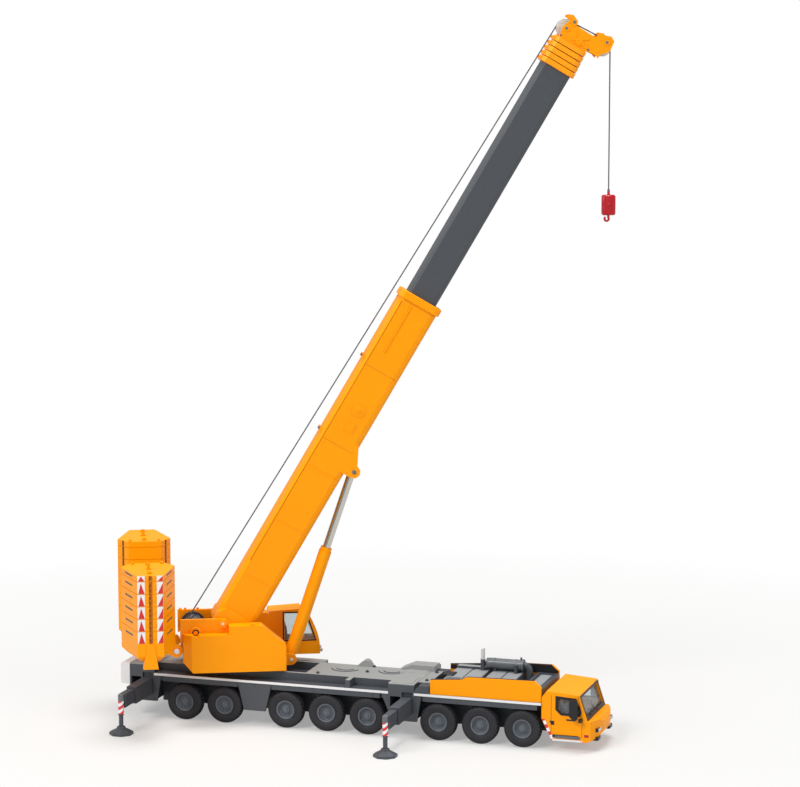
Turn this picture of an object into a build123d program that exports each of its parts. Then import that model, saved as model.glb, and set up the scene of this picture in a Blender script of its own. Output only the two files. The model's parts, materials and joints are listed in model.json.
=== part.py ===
"""Scale model of an eight-axle mobile crane, 1:87, parked on its wheels and outriggers.

All sizes are millimetres on the model. The carrier points along +X, +Z is up, and its
right side is -Y. Carrier sizes along X are counted from the rearmost axle, and those of
the superstructure from the slew axis, along its own heading.
"""
from build123d import *
from math import cos, radians, sin, sqrt
import os

os.makedirs("parts", exist_ok=True)

# Place of the rearmost axle and the slew axis, from the middle of the whole model's floor
REAR_AXLE_X = -76.8115
CARRIER_Y = -4.9733
SLEW_FROM_REAR_AXLE = 33.0
SLEW_HEADING = 25.0

# Axles and wheels
AXLE_PITCH = 18.97
SLEW_BAY = 28.79
FRONT_BAY = 32.48
TYRE_RADIUS = 8.25
TYRE_WIDTH = 5.2
TYRE_SHOULDER = 0.8
RIM_RADIUS = 4.3
RIM_DISH = 0.8
HUB_RADIUS = 1.5
WHEEL_TRACK = 29.2
SHAFT_RADIUS = 1.0
BEAD_GAP = 0.04
SHAFT_GAP = 0.08
TYRE_SIDES = 16
RIM_SIDES = 10
HUB_SIDES = 8
RIM_INSET = 0.3
RIM_EDGE = 0.7

# Chassis frame and deck
CHASSIS_NOSE = 164.6
SPINE_WIDTH = 13.0
SPINE_BOTTOM = 5.6
HOUSING_RADIUS = 2.4
HOUSING_SIDES = 8
HOUSING_END = 10.9
GUARD_BOTTOM = 17.0
DECK_BOTTOM = 19.4
DECK_FLOOR = 20.4
DECK_TOP = 24.0
DECK_WIDTH = 33.6
UPPER_DECK_WIDTH = 22.0
UPPER_DECK_GAP = 2.0
WELL_LENGTH = 44.0
WELL_WIDTH = 18.8
SKIRT_THICK = 1.1
RAIL_THICK = 0.45
RAIL_HEIGHT = 1.0
RIB_X = 75.8
RIB_THICK = 2.1
BUMP_X = 72.6
BUMP_LENGTH = 6.8
BUMP_RISE = 2.9
LEDGE_X = 42.0
LEDGE_LENGTH = 15.0
LEDGE_TOP = 24.4
STEP_BLOCK_TAIL = 92.5
STEP_BLOCK_NOSE = 108.9
STEP_BLOCK_RISE = 2.4
TANK_GAP = 0.4
TANK_TOP = 23.8
TANK_ROUND = 1.6
GUARD_PANEL_TOP = 16.0
GUARD_PANEL_FOOT = 10.0
GUARD_PANEL_BOTTOM = 6.8

# Outriggers: rear and front box, two beams side by side in each
BOX_LENGTH = 11.8
REAR_BOX_X = -26.1
FRONT_BOX_X = 95.6
BOX_BOTTOM = 7.6
BOX_TOP = 24.2
BOX_WIDTH = 34.0
BOX_EDGE = 0.6
MOUTH_DEPTH = 1.2
MOUTH_HEIGHT = 2.2
FLAP_TAIL = 3.3
FLAP_NOSE = 3.2
FLAP_FOOT = 1.2
FLAP_ROOT = 1.0
FLAP_RISE = 4.0
BEAM_WIDTH = 4.5
BEAM_HEIGHT = 7.4
BEAM_BOTTOM = 10.9
BEAM_WALL = 0.5
BEAM_GAP = 0.1
BEAM_OFFSET = 2.75
BEAM_INNER_END = 6.0
BEAM_OUTER_END = 36.0
STAGE_INNER_END = 19.0
LEG_Y = 47.9
LEG_RADIUS = 1.05
SLEEVE_WIDTH = 2.8
SLEEVE_TOP = 17.8
SLEEVE_BOTTOM = 8.6
SLEEVE_LID = 0.6
LEG_LIFT = 4.0
LEG_TOP_GAP = 0.2
PAD_RADIUS = 4.9
PAD_SIDES = 8
PAD_EDGE = 1.1
PAD_HEIGHT = 3.0
PAD_TAPER = 62

# Hood and engine deck
HOOD_TAIL = 114.5
HOOD_WIDTH = 32.6
HOOD_THICK = 1.4
HOOD_REAR_TOP = 26.7
HOOD_STEP_X = 128.5
HOOD_STEP_BOTTOM = 27.8
HOOD_STEP_TOP = 29.1
HOOD_FRONT_X = 161.2
HOOD_FRONT_TOP = 29.6
ENGINE_DECK_TOP = 26.0
ENGINE_SLOPE = 4.0
ENGINE_REAR_TOP = 22.2
STEP_RISE = 1.1
STEP_INNER = 11.0
RECESS_X = 149.6
RECESS_LENGTH = 5.2
RECESS_DEPTH = 2.6
HATCH_FRAME = 1.2
HATCH_SINK = 0.5
MUFFLER_SIDES = 12
ELBOW_RADIUS = 2.5
ELBOW_PIPE = 1.25
MUFFLER_RADIUS = 2.1
MUFFLER_X = 132.6
MUFFLER_LENGTH = 17.0
MUFFLER_Y = 10.6
MUFFLER_Z = 29.6
EXHAUST_X = 130.9
EXHAUST_Y = 10.0
EXHAUST_RADIUS = 0.85
EXHAUST_WALL = 0.25
EXHAUST_SIDES = 8
EXHAUST_DEPTH = 3.0
EXHAUST_SLANT = 1.2
EXHAUST_TOP = 36.2

# Driver's cab
CAB_TAIL = 164.6
CAB_WIDTH = 32.6
CAB_WALL = 0.9
CAB_BOTTOM = 4.2
CAB_ROOF_REAR_X = 166.8
CAB_ROOF_REAR_Z = 25.8
CAB_ROOF_FRONT_X = 181.2
CAB_ROOF_FRONT_Z = 24.7
SCREEN_FOOT_X = 184.9
SCREEN_FOOT_Z = 13.6
NOSE_X = 190.2
NOSE_Z = 10.0
NOSE_BOW = 4.0
WINDOW_TAIL = 6.4
CORNER_POST = 1.1
SEAT_BACK_X = 6.9
GLASS_THICK = 0.5
SEAT_WIDTH = 7.0
MIRROR_X = 177.5
MIRROR_LENGTH = 3.6
MIRROR_TOP = 23.3
MIRROR_BOTTOM = 16.0
MIRROR_REACH = 2.7
MIRROR_THICK = 0.9
MIRROR_ARM = 1.3
STEP_PROUD = 0.35
STEP_LENGTH = 11.4
LAMP_Y = 10.6
LAMP_Z = 9.2
LAMP_WIDTH = 4.6
LAMP_HEIGHT = 1.5
LAMP_SINK = 1.3
GLASS_GAP = 0.05

# Superstructure
TURRET_BOTTOM = 24.8
TURRET_FLOOR = 27.0
TURRET_WIDTH = 33.0
TURRET_TAIL = -37.8
TURRET_NOSE = 7.4
HOUSING_INNER = 9.2
HOUSING_TOP = 45.4
HOUSING_STEP_TOP = 41.6
HOUSING_STEP_X = -17.8
HOUSING_SLOPE = 10.5
REAR_RAKE = 4.0
REAR_CHAMFER = 3.4
ARM_V = 9.2
ARM_THICK = 1.8
ARM_TOP = 47.8
ARM_OVERHANG = 1.2
ARM_BOSS_RADIUS = 2.7
ARM_BOSS_PROUD = 0.6
SPIGOT_RADIUS = 8.6
SEAT_GAP = 0.3
TURN_GAP = 0.1
PIN_GAP = 0.05
FOOT_PIN_U = -20.2
FOOT_PIN_Z = 45.7
FOOT_PIN_RADIUS = 1.2
DRUM_U = -32.3
DRUM_Z = 41.9
DRUM_RADIUS = 4.1
DRUM_FLANGE_RADIUS = 5.4
DRUM_SHAFT_RADIUS = 1.2
DRUM_SIDES = 16
FLANGE_INSET = 1.6
FLANGE_THICK = 1.0
NOTCH_TAIL = 3.0
NOTCH_HALF = 3.2
BOSS_SIDES = 12

# Counterweight
STACK_INNER = 10.0
STACK_SHOULDER = 17.0
STACK_OUTER = 38.0
STACK_MIDDLE_U = -53.3
STACK_INNER_WIDTH = 14.6
STACK_WIDTH = 23.6
STACK_OUTER_WIDTH = 11.5
STACK_BOTTOM = 43.8
SLAB_HEIGHT = 5.5
CAP_HEIGHT = 2.7
SLAB_SEAM = 0.25
RIGHT_SLABS = 5
LEFT_SLABS = 6
GROOVE_WIDTH = 1.0
GROOVE_DEPTH = 0.7
TRAY_BOTTOM = 35.8
TRAY_INSET = 2.2
FOOT_PROUD = 0.4
FOOT_DEPTH = 4.6
FOOT_BOTTOM = 32.5
FOOT_WIDTH = 6.6
FOOT_TOP_WIDTH = 3.0
HANGER_PIN_U = -40.75
HANGER_PIN_Z = 33.8
HANGER_RADIUS = 2.9
HANGER_PIN_RADIUS = 1.25
HANGER_PIN_PROUD = 0.5

# Operator's cab
CAB2_U = 2.4
CAB2_LENGTH = 23.1
CAB2_INNER = 14.0
CAB2_WIDTH = 12.0
CAB2_BOTTOM = 24.8
CAB2_TOP = 45.7
CAB2_WALL = 0.7
CAB2_LEAN = 4.4
CAB2_SILL = 6.7
CAB2_POST = 1.2

# Boom
LUFF_ANGLE = 59.4
BOOM_MIDDLE_N = -5.0
BASE_WIDTH = 13.0
BASE_DEPTH = 18.6
BASE_LENGTH = 168.1
COLLAR_LENGTH = 3.4
COLLAR_RISE = 0.8
BOOM_CAVITY_START = 7.0
CORNER_STEPS = 3
SECTION_WIDTH = 10.4
SECTION_DEPTH = 14.0
SECTION_WALL = 0.55
SECTION_GAP = 0.15
SECTION_COUNT = 5
SECTION_TAIL = 125.0
TAIL_STEP = 0.6
REACH = 285.1
RING_LENGTH = 2.2
RING_PITCH = 2.6
RING_WIDTH = 13.0
RING_DEPTH = 17.2
RING_TAPER = 0.3
LUG_ALONG = 86.7
LUG_NORMAL = -17.4
LUG_RADIUS = 2.9
LUG_OUTER = 6.5
LUG_INNER = 2.4
LUG_PIN_RADIUS = 0.9
LUG_RUN = 11.0
FOOT_RADIUS = 4.2
PLATE_RISE = 0.35
BADGE_ALONG = 111.7
BADGE_RADIUS = 3.1
STRIP_ALONG = 139.6
STRIP_LENGTH = 23.6
STRIP_NORMAL = -1.8
NUB_PLACES = (95.7, 133.3)
NUB_RISE = 0.9

# Boom head, ropes and hook
HEAD_PLATE_OUTER = 4.4
HEAD_PLATE_INNER = 3.4
HEAD_WEB = 0.7
SHEAVE_RADIUS = 3.9
SHEAVE_GROOVE = 3.3
SHEAVE_WIDTH = 1.6
SHEAVE_SIDES = 12
GROOVE_HALF = 0.4
REAR_SHEAVE = (302.5, 0.7)
NOSE_SHEAVE = (303.6, -18.1)
SHEAVE_PIN_RADIUS = 0.8
ROPE_RADIUS = 0.3
ROPE_SIDES = 8
ROPE_DRUM_END = (-6.6, 12.85)
HOOK_ROPE_LENGTH = 63.1
BLOCK_KNOT = 1.9
BLOCK_HEIGHT = 9.2
BLOCK_WIDTH = 6.1
BLOCK_THICK = 3.2
BLOCK_BEVEL = 1.2
BLOCK_ROUND = 0.5
BLOCK_HUB = 1.3
HOOK_THICK = 1.1
HOOK_REACH = 1.9
HOOK_DROP = 3.8

# Luffing cylinder
CYLINDER_FOOT = (10.5, 27.4)
BARREL_LENGTH = 52.0
BARREL_RADIUS = 2.85
BARREL_BORE = 1.9
BORE_START = 4.5
BARREL_START = 2.0
GLAND_LENGTH = 1.6
GLAND_STEP = 0.35
ROD_RADIUS = 1.75
ROD_LENGTH = 50.0
CYLINDER_EYE_RADIUS = 2.5
CYLINDER_EYE_HALF = 2.1
FOOT_LUG_INNER = 3.3
FOOT_LUG_OUTER = 6.6
FOOT_LUG_RADIUS = 2.5
FOOT_LUG_TOP = 31.0
FOOT_PIN_PROUD = 0.3

# Axle places along the carrier, rearmost first
gaps = [0, AXLE_PITCH, SLEW_BAY, AXLE_PITCH, AXLE_PITCH, FRONT_BAY, AXLE_PITCH, AXLE_PITCH]
axle_x = [sum(gaps[: k + 1]) for k in range(len(gaps))]

SLEW_X = REAR_AXLE_X + SLEW_FROM_REAR_AXLE
HALF_DECK = DECK_WIDTH / 2
AHEAD = Vector(cos(radians(SLEW_HEADING)), sin(radians(SLEW_HEADING)), 0)
LEFT = Vector(-sin(radians(SLEW_HEADING)), cos(radians(SLEW_HEADING)), 0)
UP = Vector(0, 0, 1)
SLEW_POINT = Vector(SLEW_X, CARRIER_Y, 0)
BOOM_ALONG = AHEAD * cos(radians(LUFF_ANGLE)) + UP * sin(radians(LUFF_ANGLE))
FOOT_PIN = SLEW_POINT + AHEAD * FOOT_PIN_U + UP * FOOT_PIN_Z


def deck_plane(z):
    """Level plane over the carrier: local x forward from the rear axle, local y left."""
    return Plane(origin=(REAR_AXLE_X, CARRIER_Y, z), x_dir=(1, 0, 0), z_dir=(0, 0, 1))


def carrier_side(y=0.0):
    """Upright plane along the carrier: local x forward, local y up, normal to the right."""
    return Plane(origin=(REAR_AXLE_X, CARRIER_Y + y, 0), x_dir=(1, 0, 0), z_dir=(0, -1, 0))


def carrier_cross(x):
    """Upright plane across the carrier at x: local x left, local y up, normal forward."""
    return Plane(origin=(REAR_AXLE_X + x, CARRIER_Y, 0), x_dir=(0, 1, 0), z_dir=(1, 0, 0))


def turret_level(z):
    """Level plane of the superstructure: local x ahead of the slew axis, local y left."""
    return Plane(origin=SLEW_POINT + UP * z, x_dir=AHEAD, z_dir=UP)


def turret_side(v=0.0):
    """Upright plane along the superstructure, v to the left: local x ahead, local y up."""
    return Plane(origin=SLEW_POINT + LEFT * v, x_dir=AHEAD, z_dir=-LEFT)


def boom_side(v=0.0):
    """Plane along the boom, v to the left: local x from the foot pin out, local y upward."""
    return Plane(origin=FOOT_PIN + LEFT * v, x_dir=BOOM_ALONG, z_dir=-LEFT)


def boom_cross(along):
    """Plane across the boom at a distance from the foot pin: local x left, local y upward."""
    return Plane(origin=FOOT_PIN + BOOM_ALONG * along, x_dir=LEFT, z_dir=BOOM_ALONG)


def save(part, name):
    """Labels a finished piece and writes it as its own file."""
    part.label = name
    export_step(part, f"parts/{name}.step")


# Wheels: one axle at a time, a pair of tyres and the rims on their shaft
def axle_plane(x, y):
    """Plane facing right at a wheel's centre: local x forward, local y up."""
    return Plane(
        origin=(REAR_AXLE_X + x, CARRIER_Y + y, TYRE_RADIUS), x_dir=(1, 0, 0), z_dir=(0, -1, 0)
    )


def round_block(plane, radius, sides, amount, middle=(0, 0), mode=Mode.ADD):
    """Adds or cuts a many-sided bar that touches a circle of the given radius."""
    with BuildSketch(plane) as section:
        with Locations(middle):
            RegularPolygon(radius, sides, major_radius=False, rotation=180 / sides)
    extrude(section.sketch, amount=amount, mode=mode)


for number, x in enumerate(reversed(axle_x), start=1):
    with BuildPart() as tyres:
        for side in (-1, 1):
            outer_face = side * WHEEL_TRACK / 2 + TYRE_WIDTH / 2
            round_block(axle_plane(x, outer_face), TYRE_RADIUS, TYRE_SIDES, TYRE_WIDTH)
        chamfer(tyres.faces().filter_by(Axis.Y).edges(), TYRE_SHOULDER)
        for side in (-1, 1):
            middle = side * WHEEL_TRACK / 2
            round_block(
                axle_plane(x, middle + TYRE_WIDTH), RIM_RADIUS + BEAD_GAP, RIM_SIDES,
                2 * TYRE_WIDTH, mode=Mode.SUBTRACT,
            )
    save(tyres.part, f"tyres_{number}")

    rim_width = TYRE_WIDTH - 2 * RIM_INSET
    with BuildPart() as wheelset:
        round_block(axle_plane(x, WHEEL_TRACK / 2), SHAFT_RADIUS, RIM_SIDES, WHEEL_TRACK)
        for side in (-1, 1):
            middle = side * WHEEL_TRACK / 2
            face = middle + side * rim_width / 2
            round_block(axle_plane(x, middle + rim_width / 2), RIM_RADIUS, RIM_SIDES, rim_width)
            round_block(
                axle_plane(x, face), RIM_RADIUS - RIM_EDGE, RIM_SIDES, side * RIM_DISH,
                mode=Mode.SUBTRACT,
            )
            round_block(axle_plane(x, face - side * RIM_DISH), HUB_RADIUS, HUB_SIDES, -side * RIM_DISH)
    save(wheelset.part, f"wheelset_{number}")

# Chassis frame: spine with an axle housing at each axle and the guard plate over the wheels
box_spans = [(REAR_BOX_X, REAR_BOX_X + BOX_LENGTH), (FRONT_BOX_X, FRONT_BOX_X + BOX_LENGTH)]
guard_inner = HALF_DECK - SKIRT_THICK - SEAT_GAP / 2
panel_x = (axle_x[1] + axle_x[2]) / 2
skirt_spans = [
    (REAR_BOX_X + BOX_LENGTH + 4, panel_x - GUARD_PANEL_TOP / 2),
    (panel_x + GUARD_PANEL_TOP / 2, FRONT_BOX_X - 4),
    (FRONT_BOX_X + BOX_LENGTH + 4, CAB_TAIL - 2),
]
with BuildPart() as chassis_frame:
    with BuildSketch(deck_plane(SPINE_BOTTOM)):
        with Locations(((REAR_BOX_X + BOX_LENGTH + FRONT_BOX_X) / 2, 0)):
            Rectangle(FRONT_BOX_X - REAR_BOX_X - BOX_LENGTH, SPINE_WIDTH)
        with Locations(((FRONT_BOX_X + BOX_LENGTH + CHASSIS_NOSE) / 2, 0)):
            Rectangle(CHASSIS_NOSE - FRONT_BOX_X - BOX_LENGTH, SPINE_WIDTH)
    extrude(amount=GUARD_BOTTOM - SPINE_BOTTOM)
    with BuildSketch(deck_plane(GUARD_BOTTOM)):
        with Locations(((REAR_BOX_X + BOX_LENGTH + FRONT_BOX_X) / 2, 0)):
            Rectangle(FRONT_BOX_X - REAR_BOX_X - BOX_LENGTH, 2 * guard_inner)
        with Locations(((FRONT_BOX_X + BOX_LENGTH + CAB_TAIL - 2) / 2, 0)):
            Rectangle(CAB_TAIL - 2 - FRONT_BOX_X - BOX_LENGTH, 2 * guard_inner)
        for start, end in skirt_spans:
            with Locations(((start + end) / 2, 0)):
                Rectangle(end - start, DECK_WIDTH)
    extrude(amount=DECK_BOTTOM - GUARD_BOTTOM)
    for x in axle_x:
        round_block(axle_plane(x, HOUSING_END), HOUSING_RADIUS, HOUSING_SIDES, 2 * HOUSING_END)
    for x in axle_x:
        round_block(
            axle_plane(x, HOUSING_END), SHAFT_RADIUS + SHAFT_GAP, HUB_SIDES, 2 * HOUSING_END,
            mode=Mode.SUBTRACT,
        )
save(chassis_frame.part, "chassis_frame")

# Carrier deck: floor, raised middle with the turntable's well, and the outrigger boxes
upper_deck_end = HOOD_TAIL - UPPER_DECK_GAP
with BuildPart() as carrier_deck:
    with BuildSketch(deck_plane(DECK_BOTTOM)):
        with Locations(((REAR_BOX_X + CAB_TAIL) / 2, 0)):
            Rectangle(CAB_TAIL - REAR_BOX_X, DECK_WIDTH)
    extrude(amount=DECK_FLOOR - DECK_BOTTOM)
    with BuildSketch(deck_plane(DECK_FLOOR)):
        with Locations(((REAR_BOX_X + upper_deck_end) / 2, 0)):
            Rectangle(upper_deck_end - REAR_BOX_X, UPPER_DECK_WIDTH)
        with Locations((RIB_X + RIB_THICK / 2, 0)):
            Rectangle(RIB_THICK, DECK_WIDTH)
    extrude(amount=DECK_TOP - DECK_FLOOR)
    with BuildSketch(deck_plane(DECK_FLOOR)):
        with Locations((SLEW_FROM_REAR_AXLE, 0)):
            Rectangle(WELL_LENGTH, WELL_WIDTH)
    extrude(amount=DECK_TOP - DECK_FLOOR, mode=Mode.SUBTRACT)
    with BuildSketch(deck_plane(BOX_BOTTOM)):
        for start, end in box_spans:
            with Locations(((start + end) / 2, 0)):
                Rectangle(end - start, BOX_WIDTH)
    extrude(amount=BOX_TOP - BOX_BOTTOM)
    top_edges = carrier_deck.edges().filter_by(Axis.X).filter_by(
        lambda edge: abs(edge.center().Z - BOX_TOP) < 0.01
        and abs(abs(edge.center().Y - CARRIER_Y) - BOX_WIDTH / 2) < 0.01
    )
    chamfer(top_edges, BOX_EDGE)
    for side in (-1, 1):
        with BuildSketch(carrier_side(side * HALF_DECK)):
            with BuildLine():
                Polyline(
                    (panel_x - GUARD_PANEL_TOP / 2, DECK_BOTTOM),
                    (panel_x - GUARD_PANEL_FOOT / 2, GUARD_PANEL_BOTTOM),
                    (panel_x + GUARD_PANEL_FOOT / 2, GUARD_PANEL_BOTTOM),
                    (panel_x + GUARD_PANEL_TOP / 2, DECK_BOTTOM),
                    close=True,
                )
            make_face()
            for start, end in box_spans:
                with BuildLine():
                    Polyline(
                        (end - FLAP_ROOT, DECK_BOTTOM),
                        (end + FLAP_NOSE, DECK_BOTTOM),
                        (end + FLAP_FOOT, BOX_BOTTOM),
                        (end - FLAP_ROOT, BOX_BOTTOM),
                        close=True,
                    )
                make_face()
            with BuildLine():
                Polyline(
                    (FRONT_BOX_X + FLAP_ROOT, DECK_BOTTOM),
                    (FRONT_BOX_X - FLAP_TAIL, DECK_BOTTOM),
                    (FRONT_BOX_X, BOX_BOTTOM + FLAP_RISE),
                    (FRONT_BOX_X + FLAP_ROOT, BOX_BOTTOM + FLAP_RISE),
                    close=True,
                )
            make_face()
        extrude(amount=side * SKIRT_THICK)
        with BuildSketch(carrier_side(side * HALF_DECK)):
            with BuildLine():
                Polyline(
                    (upper_deck_end, DECK_FLOOR),
                    (FRONT_BOX_X + BOX_LENGTH, DECK_FLOOR),
                    (FRONT_BOX_X + BOX_LENGTH + TANK_GAP, TANK_TOP - TANK_ROUND),
                    (FRONT_BOX_X + BOX_LENGTH + TANK_GAP + TANK_ROUND, TANK_TOP),
                    (HOOD_TAIL - TANK_GAP, TANK_TOP),
                    (HOOD_TAIL - TANK_GAP, DECK_FLOOR),
                    close=True,
                )
            make_face()
        extrude(amount=side * (DECK_WIDTH - UPPER_DECK_WIDTH) / 2)
    with BuildSketch(carrier_side(UPPER_DECK_WIDTH / 2 + RIB_THICK)):
        with BuildLine():
            Polyline(
                (BUMP_X, DECK_TOP - 1),
                (BUMP_X, DECK_TOP),
                (BUMP_X + BUMP_LENGTH * 0.45, DECK_TOP + BUMP_RISE * 0.9),
                (BUMP_X + BUMP_LENGTH * 0.62, DECK_TOP + BUMP_RISE),
                (BUMP_X + BUMP_LENGTH * 0.8, DECK_TOP + BUMP_RISE * 0.8),
                (BUMP_X + BUMP_LENGTH, DECK_TOP),
                (BUMP_X + BUMP_LENGTH, DECK_TOP - 1),
                close=True,
            )
        make_face()
    extrude(amount=2 * RIB_THICK)
    with BuildSketch(carrier_side(HALF_DECK)):
        with BuildLine():
            Polyline(
                (STEP_BLOCK_TAIL, DECK_TOP - 1),
                (STEP_BLOCK_TAIL, DECK_TOP),
                (FRONT_BOX_X + 2.4, DECK_TOP + STEP_BLOCK_RISE),
                (STEP_BLOCK_NOSE, DECK_TOP + STEP_BLOCK_RISE),
                (STEP_BLOCK_NOSE, DECK_TOP - 1),
                close=True,
            )
        make_face()
    extrude(amount=HALF_DECK - UPPER_DECK_WIDTH / 2 + 2)
    with BuildSketch(deck_plane(DECK_FLOOR)):
        with Locations((LEDGE_X + LEDGE_LENGTH / 2, UPPER_DECK_WIDTH / 2 + 2)):
            Rectangle(LEDGE_LENGTH, 4)
    extrude(amount=LEDGE_TOP - DECK_FLOOR)
    channel = BEAM_WIDTH + 2 * BEAM_GAP
    for start, end in box_spans:
        for side in (-1, 1):
            middle = (start + end) / 2 - side * BEAM_OFFSET
            with BuildSketch(carrier_side(0)):
                with Locations((middle, BEAM_BOTTOM + BEAM_HEIGHT / 2)):
                    Rectangle(channel, BEAM_HEIGHT + 2 * BEAM_GAP)
            extrude(amount=BOX_WIDTH / 2, both=True, mode=Mode.SUBTRACT)
            with BuildSketch(carrier_side(side * BOX_WIDTH / 2)):
                with Locations((middle, BEAM_BOTTOM + (BEAM_HEIGHT + MOUTH_HEIGHT) / 2)):
                    Rectangle(channel + 2 * BEAM_GAP, BEAM_HEIGHT + MOUTH_HEIGHT)
            extrude(amount=side * MOUTH_DEPTH, mode=Mode.SUBTRACT)
save(carrier_deck.part, "carrier_deck")

# Silver side rails below the deck's edge
with BuildPart() as side_rails:
    with BuildSketch(deck_plane(DECK_BOTTOM)):
        for side in (-1, 1):
            for start, end in ((box_spans[0][1], box_spans[1][0]), (box_spans[1][1], CAB_TAIL)):
                with Locations(((start + end) / 2, side * (HALF_DECK + RAIL_THICK / 2))):
                    Rectangle(end - start, RAIL_THICK)
    extrude(amount=RAIL_HEIGHT)
save(side_rails.part, "side_rails")

# White tail panel across the back of the rear outrigger box
with BuildPart() as tail_panel:
    with BuildSketch(deck_plane(14.6)):
        with Locations((REAR_BOX_X - 2.1, 0)):
            Rectangle(4.2, BOX_WIDTH)
    extrude(amount=9.7)
    fillet(tail_panel.edges().filter_by(Axis.Y).group_by(Axis.X)[0], 0.8)
save(tail_panel.part, "tail_panel")


# Outriggers: an outer beam, the inner beam inside it with its leg sleeve, and the leg
def beam_frame(middle, y):
    """Plane across an outrigger beam, facing away from the carrier's right side."""
    return Plane(
        origin=(REAR_AXLE_X + middle, CARRIER_Y + y, BEAM_BOTTOM + BEAM_HEIGHT / 2),
        x_dir=(1, 0, 0),
        z_dir=(0, -1, 0),
    )


inner_height = BEAM_HEIGHT - 2 * (BEAM_WALL + BEAM_GAP)
inner_width = BEAM_WIDTH - 2 * (BEAM_WALL + BEAM_GAP)
for end_name, (start, end) in zip(("rear", "front"), box_spans):
    for side_name, side in (("right", -1), ("left", 1)):
        middle = (start + end) / 2 - side * BEAM_OFFSET
        with BuildPart() as outer_beam:
            with BuildSketch(beam_frame(middle, side * BEAM_INNER_END)):
                Rectangle(BEAM_WIDTH, BEAM_HEIGHT)
                Rectangle(
                    BEAM_WIDTH - 2 * BEAM_WALL, BEAM_HEIGHT - 2 * BEAM_WALL, mode=Mode.SUBTRACT
                )
            extrude(amount=-side * (BEAM_OUTER_END - BEAM_INNER_END))
        save(outer_beam.part, f"outer_beam_{end_name}_{side_name}")

        with BuildPart() as inner_beam:
            with BuildSketch(beam_frame(middle, side * STAGE_INNER_END)):
                Rectangle(inner_width, inner_height)
            extrude(amount=-side * (LEG_Y - STAGE_INNER_END))
            with BuildSketch(deck_plane(SLEEVE_BOTTOM)):
                with Locations((middle, side * LEG_Y)):
                    Rectangle(SLEEVE_WIDTH, SLEEVE_WIDTH)
            extrude(amount=SLEEVE_TOP - SLEEVE_BOTTOM)
            with BuildSketch(deck_plane(SLEEVE_BOTTOM)):
                with Locations((middle, side * LEG_Y)):
                    RegularPolygon(LEG_RADIUS + BEAM_GAP, HUB_SIDES, major_radius=False)
            extrude(amount=SLEEVE_TOP - SLEEVE_BOTTOM - SLEEVE_LID, mode=Mode.SUBTRACT)
        save(inner_beam.part, f"inner_beam_{end_name}_{side_name}")

        with BuildPart() as leg:
            with BuildSketch(deck_plane(0)):
                with Locations((middle, side * LEG_Y)):
                    RegularPolygon(PAD_RADIUS, PAD_SIDES, major_radius=False, rotation=180 / PAD_SIDES)
            extrude(amount=PAD_EDGE)
            with BuildSketch(deck_plane(PAD_EDGE)):
                with Locations((middle, side * LEG_Y)):
                    RegularPolygon(PAD_RADIUS, PAD_SIDES, major_radius=False, rotation=180 / PAD_SIDES)
            extrude(amount=PAD_HEIGHT - PAD_EDGE, taper=PAD_TAPER)
            with BuildSketch(deck_plane(PAD_EDGE)):
                with Locations((middle, side * LEG_Y)):
                    RegularPolygon(LEG_RADIUS, HUB_SIDES)
            extrude(amount=SLEEVE_TOP - SLEEVE_LID - LEG_LIFT - LEG_TOP_GAP - PAD_EDGE)
        save(leg.part, f"leg_{end_name}_{side_name}")

# Hood: two side panels with a stepped top edge, sloping down to the cab's roof
with BuildPart() as hood_panels:
    for side in (-1, 1):
        with BuildSketch(carrier_side(side * HOOD_WIDTH / 2)):
            with BuildLine():
                Polyline(
                    (HOOD_TAIL, DECK_FLOOR),
                    (HOOD_TAIL, HOOD_REAR_TOP),
                    (HOOD_STEP_X, HOOD_STEP_BOTTOM),
                    (HOOD_STEP_X + 2.7, HOOD_STEP_TOP),
                    (HOOD_FRONT_X, HOOD_FRONT_TOP),
                    (CAB_TAIL - SEAT_GAP, CAB_ROOF_REAR_Z + 1.2),
                    (CAB_TAIL - SEAT_GAP, DECK_FLOOR),
                    close=True,
                )
            make_face()
        extrude(amount=side * HOOD_THICK)
save(hood_panels.part, "hood_panels")

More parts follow.
